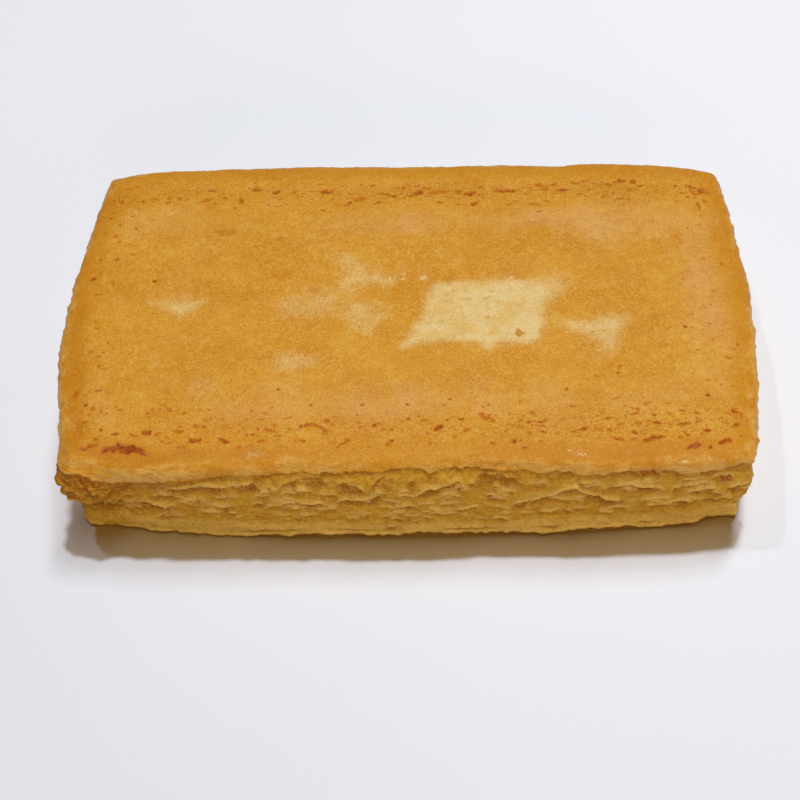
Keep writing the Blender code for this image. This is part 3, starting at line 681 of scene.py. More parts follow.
# Where the crust is a deeper gold (above 0) or a duller, pinker tan (below 0), as ovals:
# (x, y, half length, half width, turn, how much)
TONES = (
    (30.0, 16.5, 19.0, 4.2, 0.0, -0.55),
    (-6.0, 16.8, 12.0, 3.2, 0.0, -0.45),
    (-41.0, 18.5, 8.0, 4.0, -0.1, -0.40),
    (46.0, -4.0, 4.5, 18.0, 0.0, -0.30),
    (-13.0, -20.0, 30.0, 3.5, 0.0, -0.30),
    (20.0, -19.5, 26.0, 3.0, 0.0, -0.25),
    (-47.0, -18.0, 3.0, 8.0, 0.0, -0.30),
    (-32.0, -16.0, 3.0, 3.0, 0.0, -0.30),
    (11.0, -15.0, 2.0, 3.0, 0.0, -0.30),
    (-34.0, 9.0, 5.0, 4.0, 0.0, -0.20),
    (-1.5, -2.0, 2.4, 8.0, -0.25, 0.80),
    (-7.0, 1.0, 3.0, 0.9, 0.0, 0.70),
    (11.0, 6.0, 7.5, 1.4, 0.05, 0.90),
    (18.0, 11.5, 9.0, 2.6, 0.0, 0.45),
    (1.0, 11.0, 4.0, 3.0, 0.0, 0.40),
    (28.0, 0.8, 5.0, 2.0, 0.1, 0.45),
    (-15.0, -6.0, 5.5, 3.0, 0.1, 0.60),
    (-27.0, -7.0, 8.0, 5.0, 0.2, 0.45),
    (-27.0, 5.0, 9.0, 5.0, 0.0, 0.35),
    (-43.0, 7.0, 5.0, 4.0, 0.0, 0.25),
    (4.0, -12.5, 5.5, 2.6, 0.0, 0.50),
    (17.0, -12.5, 4.5, 3.0, 0.0, 0.50),
    (-8.0, -13.0, 4.0, 3.0, 0.0, 0.30),
    (30.0, -15.0, 7.0, 4.0, 0.0, 0.25),
    (-38.0, -8.0, 5.0, 4.0, 0.0, 0.40),
    (-24.0, -28.0, 26.0, 2.6, 0.0, 0.75),
    (24.0, -28.2, 26.0, 2.4, 0.0, 0.75),
    (-24.0, 28.0, 26.0, 2.2, 0.0, 0.60),
    (24.0, 27.6, 26.0, 2.2, 0.0, 0.60),
    (-51.5, -2.0, 2.4, 24.0, 0.0, 0.45),
    (-5.0, 1.6, 4.0, 1.0, 0.1, 0.60),
    (33.0, 9.0, 9.0, 2.6, 0.1, 0.35),
    (-44.0, -14.0, 5.0, 3.0, 0.2, 0.35),
    (-20.0, 9.5, 6.0, 3.0, 0.1, 0.30),
    (37.0, -12.0, 4.0, 4.0, 0.0, 0.30),
    (-47.0, 14.0, 3.0, 6.0, 0.0, -0.25),
    (5.0, 16.0, 8.0, 2.6, 0.0, -0.30),
    (0.0, -16.0, 4.0, 2.0, 0.0, -0.25),
    (-20.0, -12.0, 5.0, 2.5, 0.0, -0.25),
    (38.0, -20.0, 7.0, 3.0, 0.0, -0.25),
    (48.0, 8.0, 4.2, 17.0, 0.0, -0.28),
    (48.0, 27.5, 4.0, 2.0, 0.0, 0.60),
)
# Moist crumbs that glint, with the glint also painted in as near-white spots: (x, y, half length, half width, turn)
GLINTS = (
    (24.3, -28.6, 0.34, 0.20, -0.3), (26.4, -29.2, 0.40, 0.20, -0.2), (41.0, -30.2, 0.50, 0.18, 0.1),
    (44.9, -29.7, 0.40, 0.18, 0.2), (-2.6, 4.5, 0.70, 0.26, 0.0), (-0.8, 4.4, 0.36, 0.20, 0.1),
    (2.4, 4.4, 0.60, 0.28, 0.2), (16.7, 4.6, 0.45, 0.22, 0.0), (-23.0, -28.8, 0.34, 0.18, 0.1),
)


def to_shape(x, y, corners):
    """Distance from a shape given by its corners, negative inside."""
    nearest = np.full(np.shape(x), 1e9)
    within = np.zeros(np.shape(x), bool)
    for (ax, ay), (bx, by) in zip(corners, corners[1:] + corners[:1]):
        ex, ey = bx - ax, by - ay
        t = np.clip(((x - ax) * ex + (y - ay) * ey) / (ex * ex + ey * ey), 0, 1)
        nearest = np.minimum(nearest, np.hypot(x - ax - t * ex, y - ay - t * ey))
        crosses = (ay > y) != (by > y)
        within ^= crosses & (x < ax + (y - ay) / np.where(by == ay, 1e-9, by - ay) * ex)
    return np.where(within, -nearest, nearest)


def oval(x, y, at_x, at_y, long, wide, turn=0.0):
    """0 at an oval's middle, 1 at its edge."""
    c, s = math.cos(turn), math.sin(turn)
    dx, dy = x - at_x, y - at_y
    return np.hypot((dx * c + dy * s) / long, (dy * c - dx * s) / wide)


def pits():
    """Every pit of the top crust: the listed ones, softer at the back, then small faint ones along its margins."""
    made = [(*pit[:5], pit[5] * (0.88 if pit[1] > 14 else 1.0)) for pit in TOP_PITS]
    rng = np.random.default_rng(57)
    for count, x_range, y_range, strong in (
        (70, (43.5, 51.5), (-24.0, 23.0), 0.46),
        (50, (-52.0, -45.5), (-24.0, 24.0), 0.48),
        (150, (-49.0, 50.0), (-27.8, -20.0), 0.54),
        (130, (-49.0, 50.0), (20.4, 26.2), 0.58),
        (70, (-46.0, 46.0), (-20.0, 20.0), 0.30),
    ):
        for _ in range(count):
            at = rng.uniform(*x_range), rng.uniform(*y_range)
            size = rng.uniform(0.22, 0.66), rng.uniform(0.14, 0.30)
            made.append((*at, *size, rng.uniform(-0.5, 0.4), strong * rng.uniform(0.55, 1.15)))
    return made


def top_marks(x, y):
    """Depth and redness of the crust's pits at each point of the plan."""
    depth, red = np.zeros(np.shape(x)), np.zeros(np.shape(x))
    wave_x = 0.40 * noise(x / 0.8, y / 0.8, 0.0, 81)
    wave_y = 0.30 * noise(x / 0.6, y / 0.6, 5.0, 82)
    for at_x, at_y, long, wide, turn, strength in pits():
        reach = 2.4 * long + 0.9
        near = np.nonzero((np.abs(x - at_x) < reach) & (np.abs(y - at_y) < reach))
        if not len(near[0]):
            continue
        long, wide = max(long, 0.26), max(wide, 0.20)
        wx = x[near] + wave_x[near] * min(1.0, 0.8 * long)
        wy = y[near] + wave_y[near] * min(1.0, 1.6 * wide)
        r = oval(wx, wy, at_x, at_y, long, wide, turn)
        deep = strength * (0.14 + 0.45 * min(wide, 0.6))
        depth[near] = np.maximum(depth[near], deep * smooth(1.2, 0.55, r))
        red[near] = np.maximum(red[near], strength * smooth(1.35, 0.75, r))
        halo = 0.36 if at_y > 14 else 0.26
        red[near] = np.maximum(red[near], halo * strength * smooth(2.5, 1.0, r))
    return depth, red


def pale_at(x, y):
    """How pale the crust is, 0 to 1, in the patches that hardly browned."""
    wx = x + 0.9 * noise(x / 3.2, y / 3.2, 1.0, 91) + 0.4 * noise(x / 1.1, y / 1.1, 2.0, 92)
    wy = y + 0.7 * noise(x / 3.2, y / 3.2, 3.0, 93) + 0.35 * noise(x / 1.1, y / 1.1, 4.0, 94)
    shade = np.zeros(np.shape(x))
    for at_x, at_y, long, wide, turn, pale, soft in PALE:
        r = oval(wx, wy, at_x, at_y, long, wide, turn)
        here = pale * smooth(1.0 + soft * 0.55, 1.0 - soft * 0.55, r)
        shade = 1 - (1 - shade) * (1 - here)
    near_x, near_y = 0.6 * x + 0.4 * wx, 0.7 * y + 0.3 * wy
    for corners, pale, soft in PALE_SHAPES:
        here = pale * smooth(soft * 0.8, -soft, to_shape(near_x, near_y, corners))
        shade = 1 - (1 - shade) * (1 - here)
    return np.clip(shade, 0, 1)


def glint_at(x, y):
    value = np.zeros(np.shape(x))
    for place in GLINTS:
        value = np.maximum(value, smooth(1.4, 0.5, oval(x, y, *place)))
    return value


def tone_at(x, y):
    """How gold (up to 1) or how tan (down to -1) the crust is."""
    wx = x + 1.2 * noise(x / 4.5, y / 4.5, 1.5, 95) + 0.5 * noise(x / 1.4, y / 1.4, 2.5, 96)
    wy = y + 1.0 * noise(x / 4.5, y / 4.5, 3.5, 97) + 0.5 * noise(x / 1.4, y / 1.4, 4.5, 98)
    tone = 0.25 * noise(x / 3.4, y / 3.0, 6.5, 99)
    for at_x, at_y, long, wide, turn, much in TONES:
        tone = tone + much * smooth(1.35, 0.45, oval(wx, wy, at_x, at_y, long, wide, turn))
    return np.clip(tone, -1, 1)


def top_at(x, y, o):
    """Height of the top crust, without its pits."""
    inside = np.maximum(-o, 0.0)
    height = RIM + (CROWN - RIM) * (1 - np.exp(-inside / CROWN_REACH))
    height = height + 0.10 * noise(x / 11, y / 11, 0.0, 101) + 0.05 * noise(x / 4, y / 4, 2.0, 102)
    # Shallow troughs run along the rows of pits at the back and the front.
    height = height - 0.13 * np.exp(-(((y - 24.6) / 1.3) ** 2)) * smooth(50, 46, np.abs(x))
    height = height - 0.10 * np.exp(-(((y + 25.2) / 1.6) ** 2)) * smooth(50, 46, np.abs(x))
    return height


# ---------------------------------------------------------------- meshing


def clean(values):
    """Fills the few cells where the surface would touch itself along an edge."""
    tiny = np.float32(-1e-3)
    for _ in range(6):
        inside = values < 0
        changed = 0
        for axis in range(3):
            others = [i for i in range(3) if i != axis]

            def part(u, v):
                cut = [slice(None)] * 3
                cut[others[0]] = slice(1, None) if u else slice(None, -1)
                cut[others[1]] = slice(1, None) if v else slice(None, -1)
                return tuple(cut)

            a, b, c, d = (inside[part(*p)] for p in ((0, 0), (1, 0), (1, 1), (0, 1)))
            bad = (a == c) & (b == d) & (a != b)
            changed += int(bad.sum())
            for p in ((0, 0), (1, 0), (1, 1), (0, 1)):
                view = values[part(*p)]
                view[bad & (view >= 0)] = tiny
            inside = values < 0
        if not changed:
            break
    return values


def skin(values, start, step):
    """A closed skin of four-sided faces where the values pass through 0, with one point in each cell it crosses."""
    inside = values < 0
    shape = np.array(values.shape)
    total = np.zeros(shape - 1, np.uint8)
    for dx in (0, 1):
        for dy in (0, 1):
            for dz in (0, 1):
                total += inside[
                    dx : shape[0] - 1 + dx, dy : shape[1] - 1 + dy, dz : shape[2] - 1 + dz
                ]
    mixed = (total > 0) & (total < 8)
    del total
    cells = np.argwhere(mixed).astype(np.int32)
    number = np.full(mixed.shape, -1, np.int32)
    number[mixed] = np.arange(len(cells), dtype=np.int32)
    corner = {}
    for dx in (0, 1):
        for dy in (0, 1):
            for dz in (0, 1):
                corner[dx, dy, dz] = values[cells[:, 0] + dx, cells[:, 1] + dy, cells[:, 2] + dz]
    place = np.zeros((len(cells), 3), np.float64)
    met = np.zeros(len(cells), np.float64)
    for axis in range(3):
        for u in (0, 1):
            for v in (0, 1):
                a = [u, v]
                a.insert(axis, 0)
                b = [u, v]
                b.insert(axis, 1)
                va, vb = corner[tuple(a)], corner[tuple(b)]
                cross = (va < 0) != (vb < 0)
                t = np.where(cross, va / np.where(va == vb, 1, va - vb), 0.0)
                point = np.array(a, float)[None, :] * cross[:, None]
                point[:, axis] += t * cross
                place += point
                met += cross
    place = np.array(start) + (cells + place / met[:, None]) * np.array(step)
    faces = []
    for axis in range(3):
        first = [slice(None)] * 3
        second = [slice(None)] * 3
        first[axis], second[axis] = slice(None, -1), slice(1, None)
        a, b = inside[tuple(first)], inside[tuple(second)]
        edges = np.argwhere(a != b)
        flip = a[tuple(edges.T)]
        u, v = [(1, 2), (2, 0), (0, 1)][axis]
        ring = []
        for du, dv in ((-1, -1), (0, -1), (0, 0), (-1, 0)):
            cell = edges.copy()
            cell[:, u] += du
            cell[:, v] += dv
            ring.append(number[tuple(cell.T)])
        ring = np.stack(ring, 1)
        ring[~flip] = ring[~flip][:, ::-1]
        faces.append(ring)
    return place, np.concatenate(faces)


def largest(points, faces):
    """Only the largest connected part of a mesh."""
    label = np.arange(len(points))
    pairs = np.concatenate([faces[:, [0, 1]], faces[:, [1, 2]], faces[:, [2, 3]]])
    while True:
        low = np.minimum(label[pairs[:, 0]], label[pairs[:, 1]])
        new = label.copy()
        np.minimum.at(new, pairs[:, 0], low)
        np.minimum.at(new, pairs[:, 1], low)
        new = new[new]
        new = new[new]
        if (new == label).all():
            break
        label = new
    names, counts = np.unique(label, return_counts=True)
    keep = label == names[counts.argmax()]
    renumber = np.cumsum(keep) - 1
    faces = renumber[faces[keep[faces[:, 0]]]]
    return points[keep], faces


def mesh_from(name, points, faces):
    mesh = bpy.data.meshes.new(name)
    sides = faces.shape[1]
    mesh.vertices.add(len(points))
    mesh.vertices.foreach_set("co", np.asarray(points, np.float32).ravel())
    mesh.loops.add(len(faces) * sides)
    mesh.loops.foreach_set("vertex_index", faces.astype(np.int32).ravel())
    mesh.polygons.add(len(faces))
    mesh.polygons.foreach_set("loop_start", np.arange(0, len(faces) * sides, sides, dtype=np.int32))
    mesh.update(calc_edges=True)
    mesh.validate()
    return mesh


def to_model(points):
    return (points + np.array([MIDDLE[0], MIDDLE[1], 0.0])) / 1000.0


def from_model(points):
    return points * 1000.0 - np.array([MIDDLE[0], MIDDLE[1], 0.0])


def body_field(sheets):
    """A field over the grid that is negative inside the bar."""
    size = [int(round((h - l) / c)) + 1 for l, h, c in zip(LOW, HIGH, CELL)]
    gx, gy, gz = (LOW[i] + CELL[i] * np.arange(size[i]) for i in range(3))
    x, y = np.meshgrid(gx, gy, indexing="ij")
    o = outside(x, y)
    depth, _ = top_marks(x, y)
    top = top_at(x, y, o) - depth
    along = along_at(x, y)
    lift = read_sheet(sheets["lift"], along, np.zeros_like(along))
    base = lift * smooth(-2.6, -0.3, o) ** 1.5
    field = np.empty(size, np.float32)
    field[:] = o[:, :, None].astype(np.float32)
    near = np.nonzero(np.abs(o) < 4.2)
    z = gz[None, :]
    oo = o[near][:, None]
    xx, yy = x[near][:, None], y[near][:, None]
    aa = np.broadcast_to(along[near][:, None], (len(oo), len(gz)))
    look = z + UNDERCUT * np.minimum(oo, 0.0)
    relief = read_sheet(sheets["relief"], aa, look)
    grain = 0.07 * noise(xx / 1.1, yy / 1.1, z / 0.9, 111) + 0.06 * noise(xx / 0.55, yy / 0.55, z / 0.45, 112)
    side = 1 - smooth(15.4, 16.6, z)
    calm = 0.35 + 0.65 * smooth(2.0, 5.0, z)
    field[near] = (oo - relief - grain * side * calm).astype(np.float32)
    above = (gz[None, None, :] - top[:, :, None]).astype(np.float32)
    field = joined(field, above, np.float32(1.5))
    below = (base[:, :, None] - gz[None, None, :]).astype(np.float32)
    field = joined(field, below, np.float32(0.35))
    return field, (gx[0], gy[0], gz[0])


def build_bar():
    sheets = unroll()
    field, start = body_field(sheets)
    field = clean(field)
    points, faces = skin(field, start, CELL)
    points, faces = largest(points, faces)
    fine = mesh_from("fine_bar", to_model(points), faces)
    bar = bpy.data.objects.new("baked_bar", fine)
    bpy.context.scene.collection.objects.link(bar)
    # The near side, the pits and the pale patches keep all their points.
    x, y, z = points.T
    along = along_at(x, y)
    keep = (np.abs(along) < 50.5) & (z > 0.4) & (z < 16.6) & (outside(x, y) > -4.2)
    keep |= (z > 16.0) & ((top_marks(x, y)[0] > 0.0) | (glint_at(x, y) > 0.0) | (pale_at(x, y) > 0.20))
    group = bar.vertex_groups.new(name="free")
    group.add(np.nonzero(~keep)[0].tolist(), 1.0, "REPLACE")
    thin = bar.modifiers.new("thin", "DECIMATE")
    thin.vertex_group = "free"
    thin.decimate_type = "COLLAPSE"
    thin.ratio = FACES / (2 * len(faces))
    thin.use_collapse_triangulate = True
    graph = bpy.context.evaluated_depsgraph_get()
    mesh = bpy.data.meshes.new_from_object(bar.evaluated_get(graph))
    bar.modifiers.clear()
    bar.vertex_groups.clear()
    bar.data = mesh
    mesh.name = "baked_bar"
    bpy.data.meshes.remove(fine)
    mesh.validate()
    mesh.shade_smooth()
    mark(mesh, sheets)
    return bar


def mark(mesh, sheets):
    """Writes where the bar is crust, crumb, pale or red, and where its shade and highlights are painted, as values on
    its points.
    """
    count = len(mesh.vertices)
    co = np.empty(count * 3, np.float32)
    mesh.vertices.foreach_get("co", co)
    points = from_model(co.reshape(-1, 3).astype(np.float64))
    normals = np.empty(count * 3, np.float32)
    mesh.vertex_normals.foreach_get("vector", normals)
    nz = normals.reshape(-1, 3)[:, 2]
    x, y, z = points.T
    o = outside(x, y)
    along = along_at(x, y)
    look = z + UNDERCUT * np.minimum(o, 0.0)
    lip = read_sheet(sheets["lip"], along, z)
    on_side = smooth(0.2, -0.2, z + UNDERCUT * np.clip(o, -2.6, 0.0) - lip)
    # Painted shade of the side's hollows and painted highlights of its lips, read from the sheets
    hollow_shade = read_sheet(sheets["dark"], along, look) * on_side
    edge = read_sheet(sheets["light"], along, look) * on_side
    red = read_sheet(sheets["red"], along, look) * on_side
    broken = np.interp(x, (-40, -38, -25, -22, -11, -9, -1, 1, 27, 28, 31, 32), (1, 0, 0, 1, 1, 0, 0, 1, 1, 0, 0, 1))
    on_rim = 0.25 + 0.45 * np.where(y < 0, broken, 0.5) + 0.5 * noise(x / 3.4, y / 3.4, 0.0, 121)
    set_back = np.interp(x, [p[0] for p in FRONT_RIM], [p[2] for p in FRONT_RIM]) * (y < 0)
    inside = -o - np.maximum(set_back, 0.0) + 0.8 * noise(x / 2.2, y / 1.2, 0.0, 123)
    # Just above its lower edge, the front of the crust is browner.
    much = np.interp(x, (-50, -46, -24, -18, -6, 6, 26, 30, 46, 50), (0.8, 1.0, 0.9, 0.4, 0.3, 0.3, 0.5, 0.65, 0.5, 0.0))
    rust = np.exp(-(((inside - 2.6) / 1.2) ** 2)) * much * (y < 0) * (1 - on_side)
    pit, pit_red = top_marks(x, y)
    pale = pale_at(x, y) * (1 - on_side) * smooth(0.5, 0.9, nz)
    over = np.maximum(smooth(0.97, 0.35, nz + 0.16 * noise(x / 1.5, y / 1.5, 0.0, 122)), 0.55 * smooth(1.9, 0.5, inside))
    over = over * (1 - on_side) * smooth(-0.2, 0.6, on_rim)
    under = smooth(0.0, -0.5, nz) * smooth(1.5, 0.3, z)
    specks = (
        np.exp(-(((y + 23.6) / 2.8) ** 2)) * (0.60 + 0.45 * smooth(-20, 40, x))
        + np.exp(-(((y - 23.2) / 1.9) ** 2)) * (0.85 + 0.20 * smooth(-20, 10, x))
        + 0.30 * smooth(8.0, 3.0, -o)
        + 0.10
    )
    specks = np.clip(specks, 0, 1) * smooth(0.5, 2.6, -o)
    values = {
        "side": on_side,
        "hollow_shade": np.clip(hollow_shade, 0, 1),
        "edge": edge,
        "red": np.clip(np.maximum(red, pit_red * (1 - on_side)), 0, 1),
        "pale": pale,
        "rim": over,
        "specks": specks * (1 - on_side),
        "inward": np.clip(-o, 0, 20) / 20.0,
        "underside": under,
        "tone": tone_at(x, y),
        "rust": rust,
        "glint": glint_at(x, y) * (1 - on_side),
    }
    for name, value in values.items():
        layer = mesh.attributes.new(name, "FLOAT", "POINT")
        layer.data.foreach_set("value", np.ascontiguousarray(value, np.float32))


# ---------------------------------------------------------------- materials


def srgb(r, g, b):
    """A colour given as it looks on a screen, 0 to 255, as the linear colour that the shader takes."""
    out = []
    for v in (r, g, b):
        v = v / 255
        out.append(v / 12.92 if v <= 0.04045 else ((v + 0.055) / 1.055) ** 2.4)
    return (*out, 1.0)


class Nodes:
    """Short names for making a material's nodes."""

    def __init__(self, material):
        material.use_nodes = True
        self.tree = material.node_tree
        self.tree.nodes.clear()

    def add(self, kind, **settings):
        node = self.tree.nodes.new(kind)
        for key, value in settings.items():
            setattr(node, key, value)
        return node

    def link(self, a, b):
        self.tree.links.new(a, b)

    def put(self, value, socket):
        if isinstance(value, bpy.types.NodeSocket):
            self.link(value, socket)
        elif value is not None:
            socket.default_value = value

    def math(self, operation, a, b=None, c=None, clamp=False):
        node = self.add("ShaderNodeMath", operation=operation, use_clamp=clamp)
        self.put(a, node.inputs[0])
        self.put(b, node.inputs[1])
        self.put(c, node.inputs[2])
        return node.outputs[0]

    def mix(self, factor, a, b, blend="MIX"):
        node = self.add("ShaderNodeMix", data_type="RGBA", blend_type=blend, clamp_factor=True)
        self.put(factor, node.inputs[0])
        self.put(a, node.inputs[6])
        self.put(b, node.inputs[7])
        return node.outputs[2]

    def step(self, value, low, high, to_low=0.0, to_high=1.0):
        node = self.add("ShaderNodeMapRange", interpolation_type="SMOOTHSTEP", clamp=True)
        self.put(value, node.inputs[0])
        for socket, number in zip(node.inputs[1:5], (low, high, to_low, to_high)):
            self.put(number, socket)
        return node.outputs[0]

    def value(self, name):
        node = self.add("ShaderNodeAttribute", attribute_type="GEOMETRY", attribute_name=name)
        return node.outputs["Fac"]

    def place(self, scale=(1.0, 1.0, 1.0), shift=(0.0, 0.0, 0.0)):
        """Places on the piece in millimetres, divided by the size of a feature along each axis."""
        if not hasattr(self, "spot"):
            self.spot = self.add("ShaderNodeTexCoord").outputs["Object"]
        node = self.add("ShaderNodeMapping", vector_type="POINT")
        self.link(self.spot, node.inputs[0])
        node.inputs["Location"].default_value = shift
        node.inputs["Scale"].default_value = tuple(1000.0 / s for s in scale)
        return node.outputs[0]

    def noise(self, size, detail=2.0, rough=0.5, shift=(0.0, 0.0, 0.0), warp=0.0):
        size = size if isinstance(size, tuple) else (size, size, size)
        node = self.add("ShaderNodeTexNoise", noise_dimensions="3D", normalize=True)
        self.link(self.place(size, shift), node.inputs["Vector"])
        node.inputs["Scale"].default_value = 1.0
        node.inputs["Detail"].default_value = detail
        node.inputs["Roughness"].default_value = rough
        node.inputs["Distortion"].default_value = warp
        return node.outputs["Fac"]


def bake_material():
    """Golden crust on top, layered crumb at the side: the colour, gloss and fine relief of the bar."""
    material = bpy.data.materials.new("golden_bake")
    n = Nodes(material)
    side, hollow_shade, edge = n.value("side"), n.value("hollow_shade"), n.value("edge")
    red, pale, rim, specks = n.value("red"), n.value("pale"), n.value("rim"), n.value("specks")
    inward, underside, tone = n.value("inward"), n.value("underside"), n.value("tone")
    rust, glint = n.value("rust"), n.value("glint")

    broad = n.noise((13.0, 9.0, 9.0), 2.0, 0.5)
    blotch = n.noise((4.4, 2.8, 2.8), 3.0, 0.6, (3.0, 1.0, 0.0), 0.3)
    mottle = n.noise(1.25, 3.0, 0.6, (7.0, 2.0, 0.0))
    grain = n.noise(0.34, 2.0, 0.6, (1.0, 9.0, 4.0))
    dust = n.noise(0.2, 1.0, 0.5, (5.0, 3.0, 8.0))

    # The top crust: blotches of deeper gold and of a pinkish tan, over a fine mottle
    crust = n.mix(n.step(broad, 0.36, 0.64), srgb(208, 142, 22), srgb(215, 154, 34))
    crust = n.mix(n.math("MULTIPLY", n.step(blotch, 0.45, 0.66), 0.20), crust, srgb(224, 168, 84))
    crust = n.mix(n.math("MULTIPLY", n.step(blotch, 0.52, 0.34), 0.25), crust, srgb(204, 132, 20))
    crust = n.mix(n.math("MULTIPLY", n.step(tone, 0.0, 1.0), 0.70), crust, srgb(211, 143, 10))
    crust = n.mix(n.math("MULTIPLY", n.step(tone, 0.0, -1.0), 0.78), crust, srgb(223, 168, 102))
    light = n.math("MULTIPLY", n.step(mottle, 0.50, 0.68), 0.32)
    crust = n.mix(light, crust, srgb(232, 181, 86))
    dark = n.math("MULTIPLY", n.step(mottle, 0.47, 0.31), 0.34)
    crust = n.mix(dark, crust, srgb(196, 124, 12))
    crust = n.mix(n.math("MULTIPLY", n.step(grain, 0.48, 0.68), 0.36), crust, srgb(238, 193, 108))
    crust = n.mix(n.math("MULTIPLY", n.step(grain, 0.46, 0.28), 0.40), crust, srgb(184, 113, 4))
    # It browns more where it bends down to the edge.
    brown = n.step(inward, 0.30, 0.02)
    crust = n.mix(n.math("MULTIPLY", brown, 0.52), crust, srgb(201, 127, 8))
    crust = n.mix(n.math("MULTIPLY", n.math("MULTIPLY", rust, n.step(mottle, 0.30, 0.52)), 0.72), crust, srgb(189, 118, 16))

    # Patches that hardly browned, with edges broken up by the mottle
    broken = n.math("ADD", pale, n.math("MULTIPLY", n.math("SUBTRACT", mottle, 0.5), 0.25))
    broken = n.math("ADD", broken, n.math("MULTIPLY", n.math("SUBTRACT", grain, 0.5), 0.30))
    broken = n.math("MULTIPLY", n.step(broken, 0.06, 0.80), n.step(pale, 0.0, 0.15))
    pale_colour = n.mix(n.step(blotch, 0.34, 0.60), srgb(226, 188, 112), srgb(233, 205, 146))
    pale_colour = n.mix(n.math("MULTIPLY", n.step(mottle, 0.48, 0.32), 0.42), pale_colour, srgb(210, 164, 76))
    pale_colour = n.mix(n.math("MULTIPLY", n.step(grain, 0.5, 0.25), 0.45), pale_colour, srgb(196, 152, 66))
    pale_colour = n.mix(n.math("MULTIPLY", n.step(grain, 0.52, 0.72), 0.45), pale_colour, srgb(241, 217, 160))
    crust = n.mix(broken, crust, pale_colour)

    # Small pits in rows, drawn out along the bar
    fleck = n.noise((0.95, 0.5, 0.6), 2.0, 0.55, (2.0, 6.0, 0.0), 1.2)
    cut = n.math("SUBTRACT", 0.79, n.math("MULTIPLY", specks, 0.200))
    gap = n.math("SUBTRACT", fleck, cut)
    small = n.step(gap, 0.0, 0.05)
    crust = n.mix(n.math("MULTIPLY", small, 0.72), crust, srgb(186, 102, 8))
    # Fine crinkles round them
    crinkle = n.math("ABSOLUTE", n.math("SUBTRACT", n.noise((2.2, 1.0, 1.0), 2.0, 0.5, (8.0, 3.0, 1.0), 0.9), 0.5))
    crinkle = n.math("MULTIPLY", n.step(crinkle, 0.034, 0.004), n.step(mottle, 0.50, 0.58))
    crinkle = n.math("MULTIPLY", crinkle, n.step(specks, 0.0, 0.8))
    crust = n.mix(n.math("MULTIPLY", crinkle, 0.62), crust, srgb(190, 110, 8))
    ragged = n.math("ADD", red, n.math("MULTIPLY", n.math("SUBTRACT", grain, 0.5), 0.7))
    ragged = n.math("ADD", ragged, n.math("MULTIPLY", n.math("SUBTRACT", mottle, 0.5), 0.6))
    crust = n.mix(n.math("MULTIPLY", n.step(ragged, 0.22, 0.56), 0.86), crust, srgb(192, 109, 12))
    crust = n.mix(n.math("MULTIPLY", n.step(ragged, 0.55, 0.86), 0.84), crust, srgb(162, 72, 5))
    crust = n.mix(n.math("MULTIPLY", n.step(ragged, 0.82, 1.12), 0.70), crust, srgb(134, 44, 3))
    # Those in the pale patches are a soft olive brown.
    olive = n.math("MULTIPLY", n.step(ragged, 0.14, 0.66), n.step(pale, 0.35, 0.75))
    crust = n.mix(n.math("MULTIPLY", olive, 0.85), crust, srgb(196, 149, 46))

    # The broken edge of the crust shows its paler crumb.
    streak = n.noise((2.6, 1.6, 0.42), 3.0, 0.6, (4.0, 2.0, 7.0), 0.6)
    crumb_rim = n.math("ADD", rim, n.math("MULTIPLY", n.math("SUBTRACT", mottle, 0.5), 0.9))
    crumb_rim = n.math("ADD", crumb_rim, n.math("MULTIPLY", n.math("SUBTRACT", streak, 0.5), 1.0))
    crumb_rim = n.math("ADD", crumb_rim, n.math("MULTIPLY", n.math("SUBTRACT", grain, 0.5), 0.5))
    crust = n.mix(n.math("MULTIPLY", n.step(crumb_rim, 0.15, 0.95), 0.66), crust, srgb(231, 184, 100))

    brown = n.math("MULTIPLY", n.step(streak, 0.48, 0.36), n.step(rim, 0.2, 0.8))
    crust = n.mix(n.math("MULTIPLY", brown, 0.45), crust, srgb(188, 116, 18))
    # Painted highlights: the glints are painted near-white, and the crust is glossier there too
    glint = n.math("MULTIPLY", glint, n.step(grain, 0.42, 0.52))
    crust = n.mix(n.math("MULTIPLY", glint, 0.62), crust, srgb(252, 230, 180))

    # The side: layers of crumb, with painted highlights on their lips and painted shade, a deeper gold, in the hollows
    cloud = n.noise(2.6, 2.0, 0.5, (1.0, 4.0, 2.0))
    curd = n.noise((0.75, 0.75, 0.65), 2.0, 0.55, (6.0, 1.0, 5.0))
    crumb = n.mix(n.step(cloud, 0.34, 0.66), srgb(198, 141, 24), srgb(211, 157, 38))
    # Painted shade in the hollows, then painted highlights on the lips
    crumb = n.mix(n.math("MULTIPLY", n.step(hollow_shade, 0.0, 0.90), 0.90), crumb, srgb(162, 94, 0))
    crumb = n.mix(n.math("MULTIPLY", n.step(edge, 0.05, 0.85), 0.85), crumb, srgb(241, 197, 106))
    crumb = n.mix(n.math("MULTIPLY", n.step(red, 0.25, 0.95), 0.65), crumb, srgb(166, 82, 10))
    crumb = n.mix(n.math("MULTIPLY", n.step(curd, 0.50, 0.66), 0.28), crumb, srgb(232, 184, 80))
    crumb = n.mix(n.math("MULTIPLY", n.step(curd, 0.49, 0.33), 0.30), crumb, srgb(164, 102, 4))
    crumb = n.mix(n.math("MULTIPLY", n.step(streak, 0.54, 0.68), 0.26), crumb, srgb(238, 194, 96))
    crumb = n.mix(n.math("MULTIPLY", n.step(streak, 0.46, 0.32), 0.26), crumb, srgb(160, 98, 4))
    crumb = n.mix(n.math("MULTIPLY", n.step(grain, 0.46, 0.28), 0.36), crumb, srgb(154, 98, 6))
    crumb = n.mix(n.math("MULTIPLY", n.step(grain, 0.52, 0.72), 0.36), crumb, srgb(234, 190, 96))

    colour = n.mix(side, crust, crumb)
    colour = n.mix(n.math("MULTIPLY", underside, 0.6), colour, srgb(186, 122, 44))

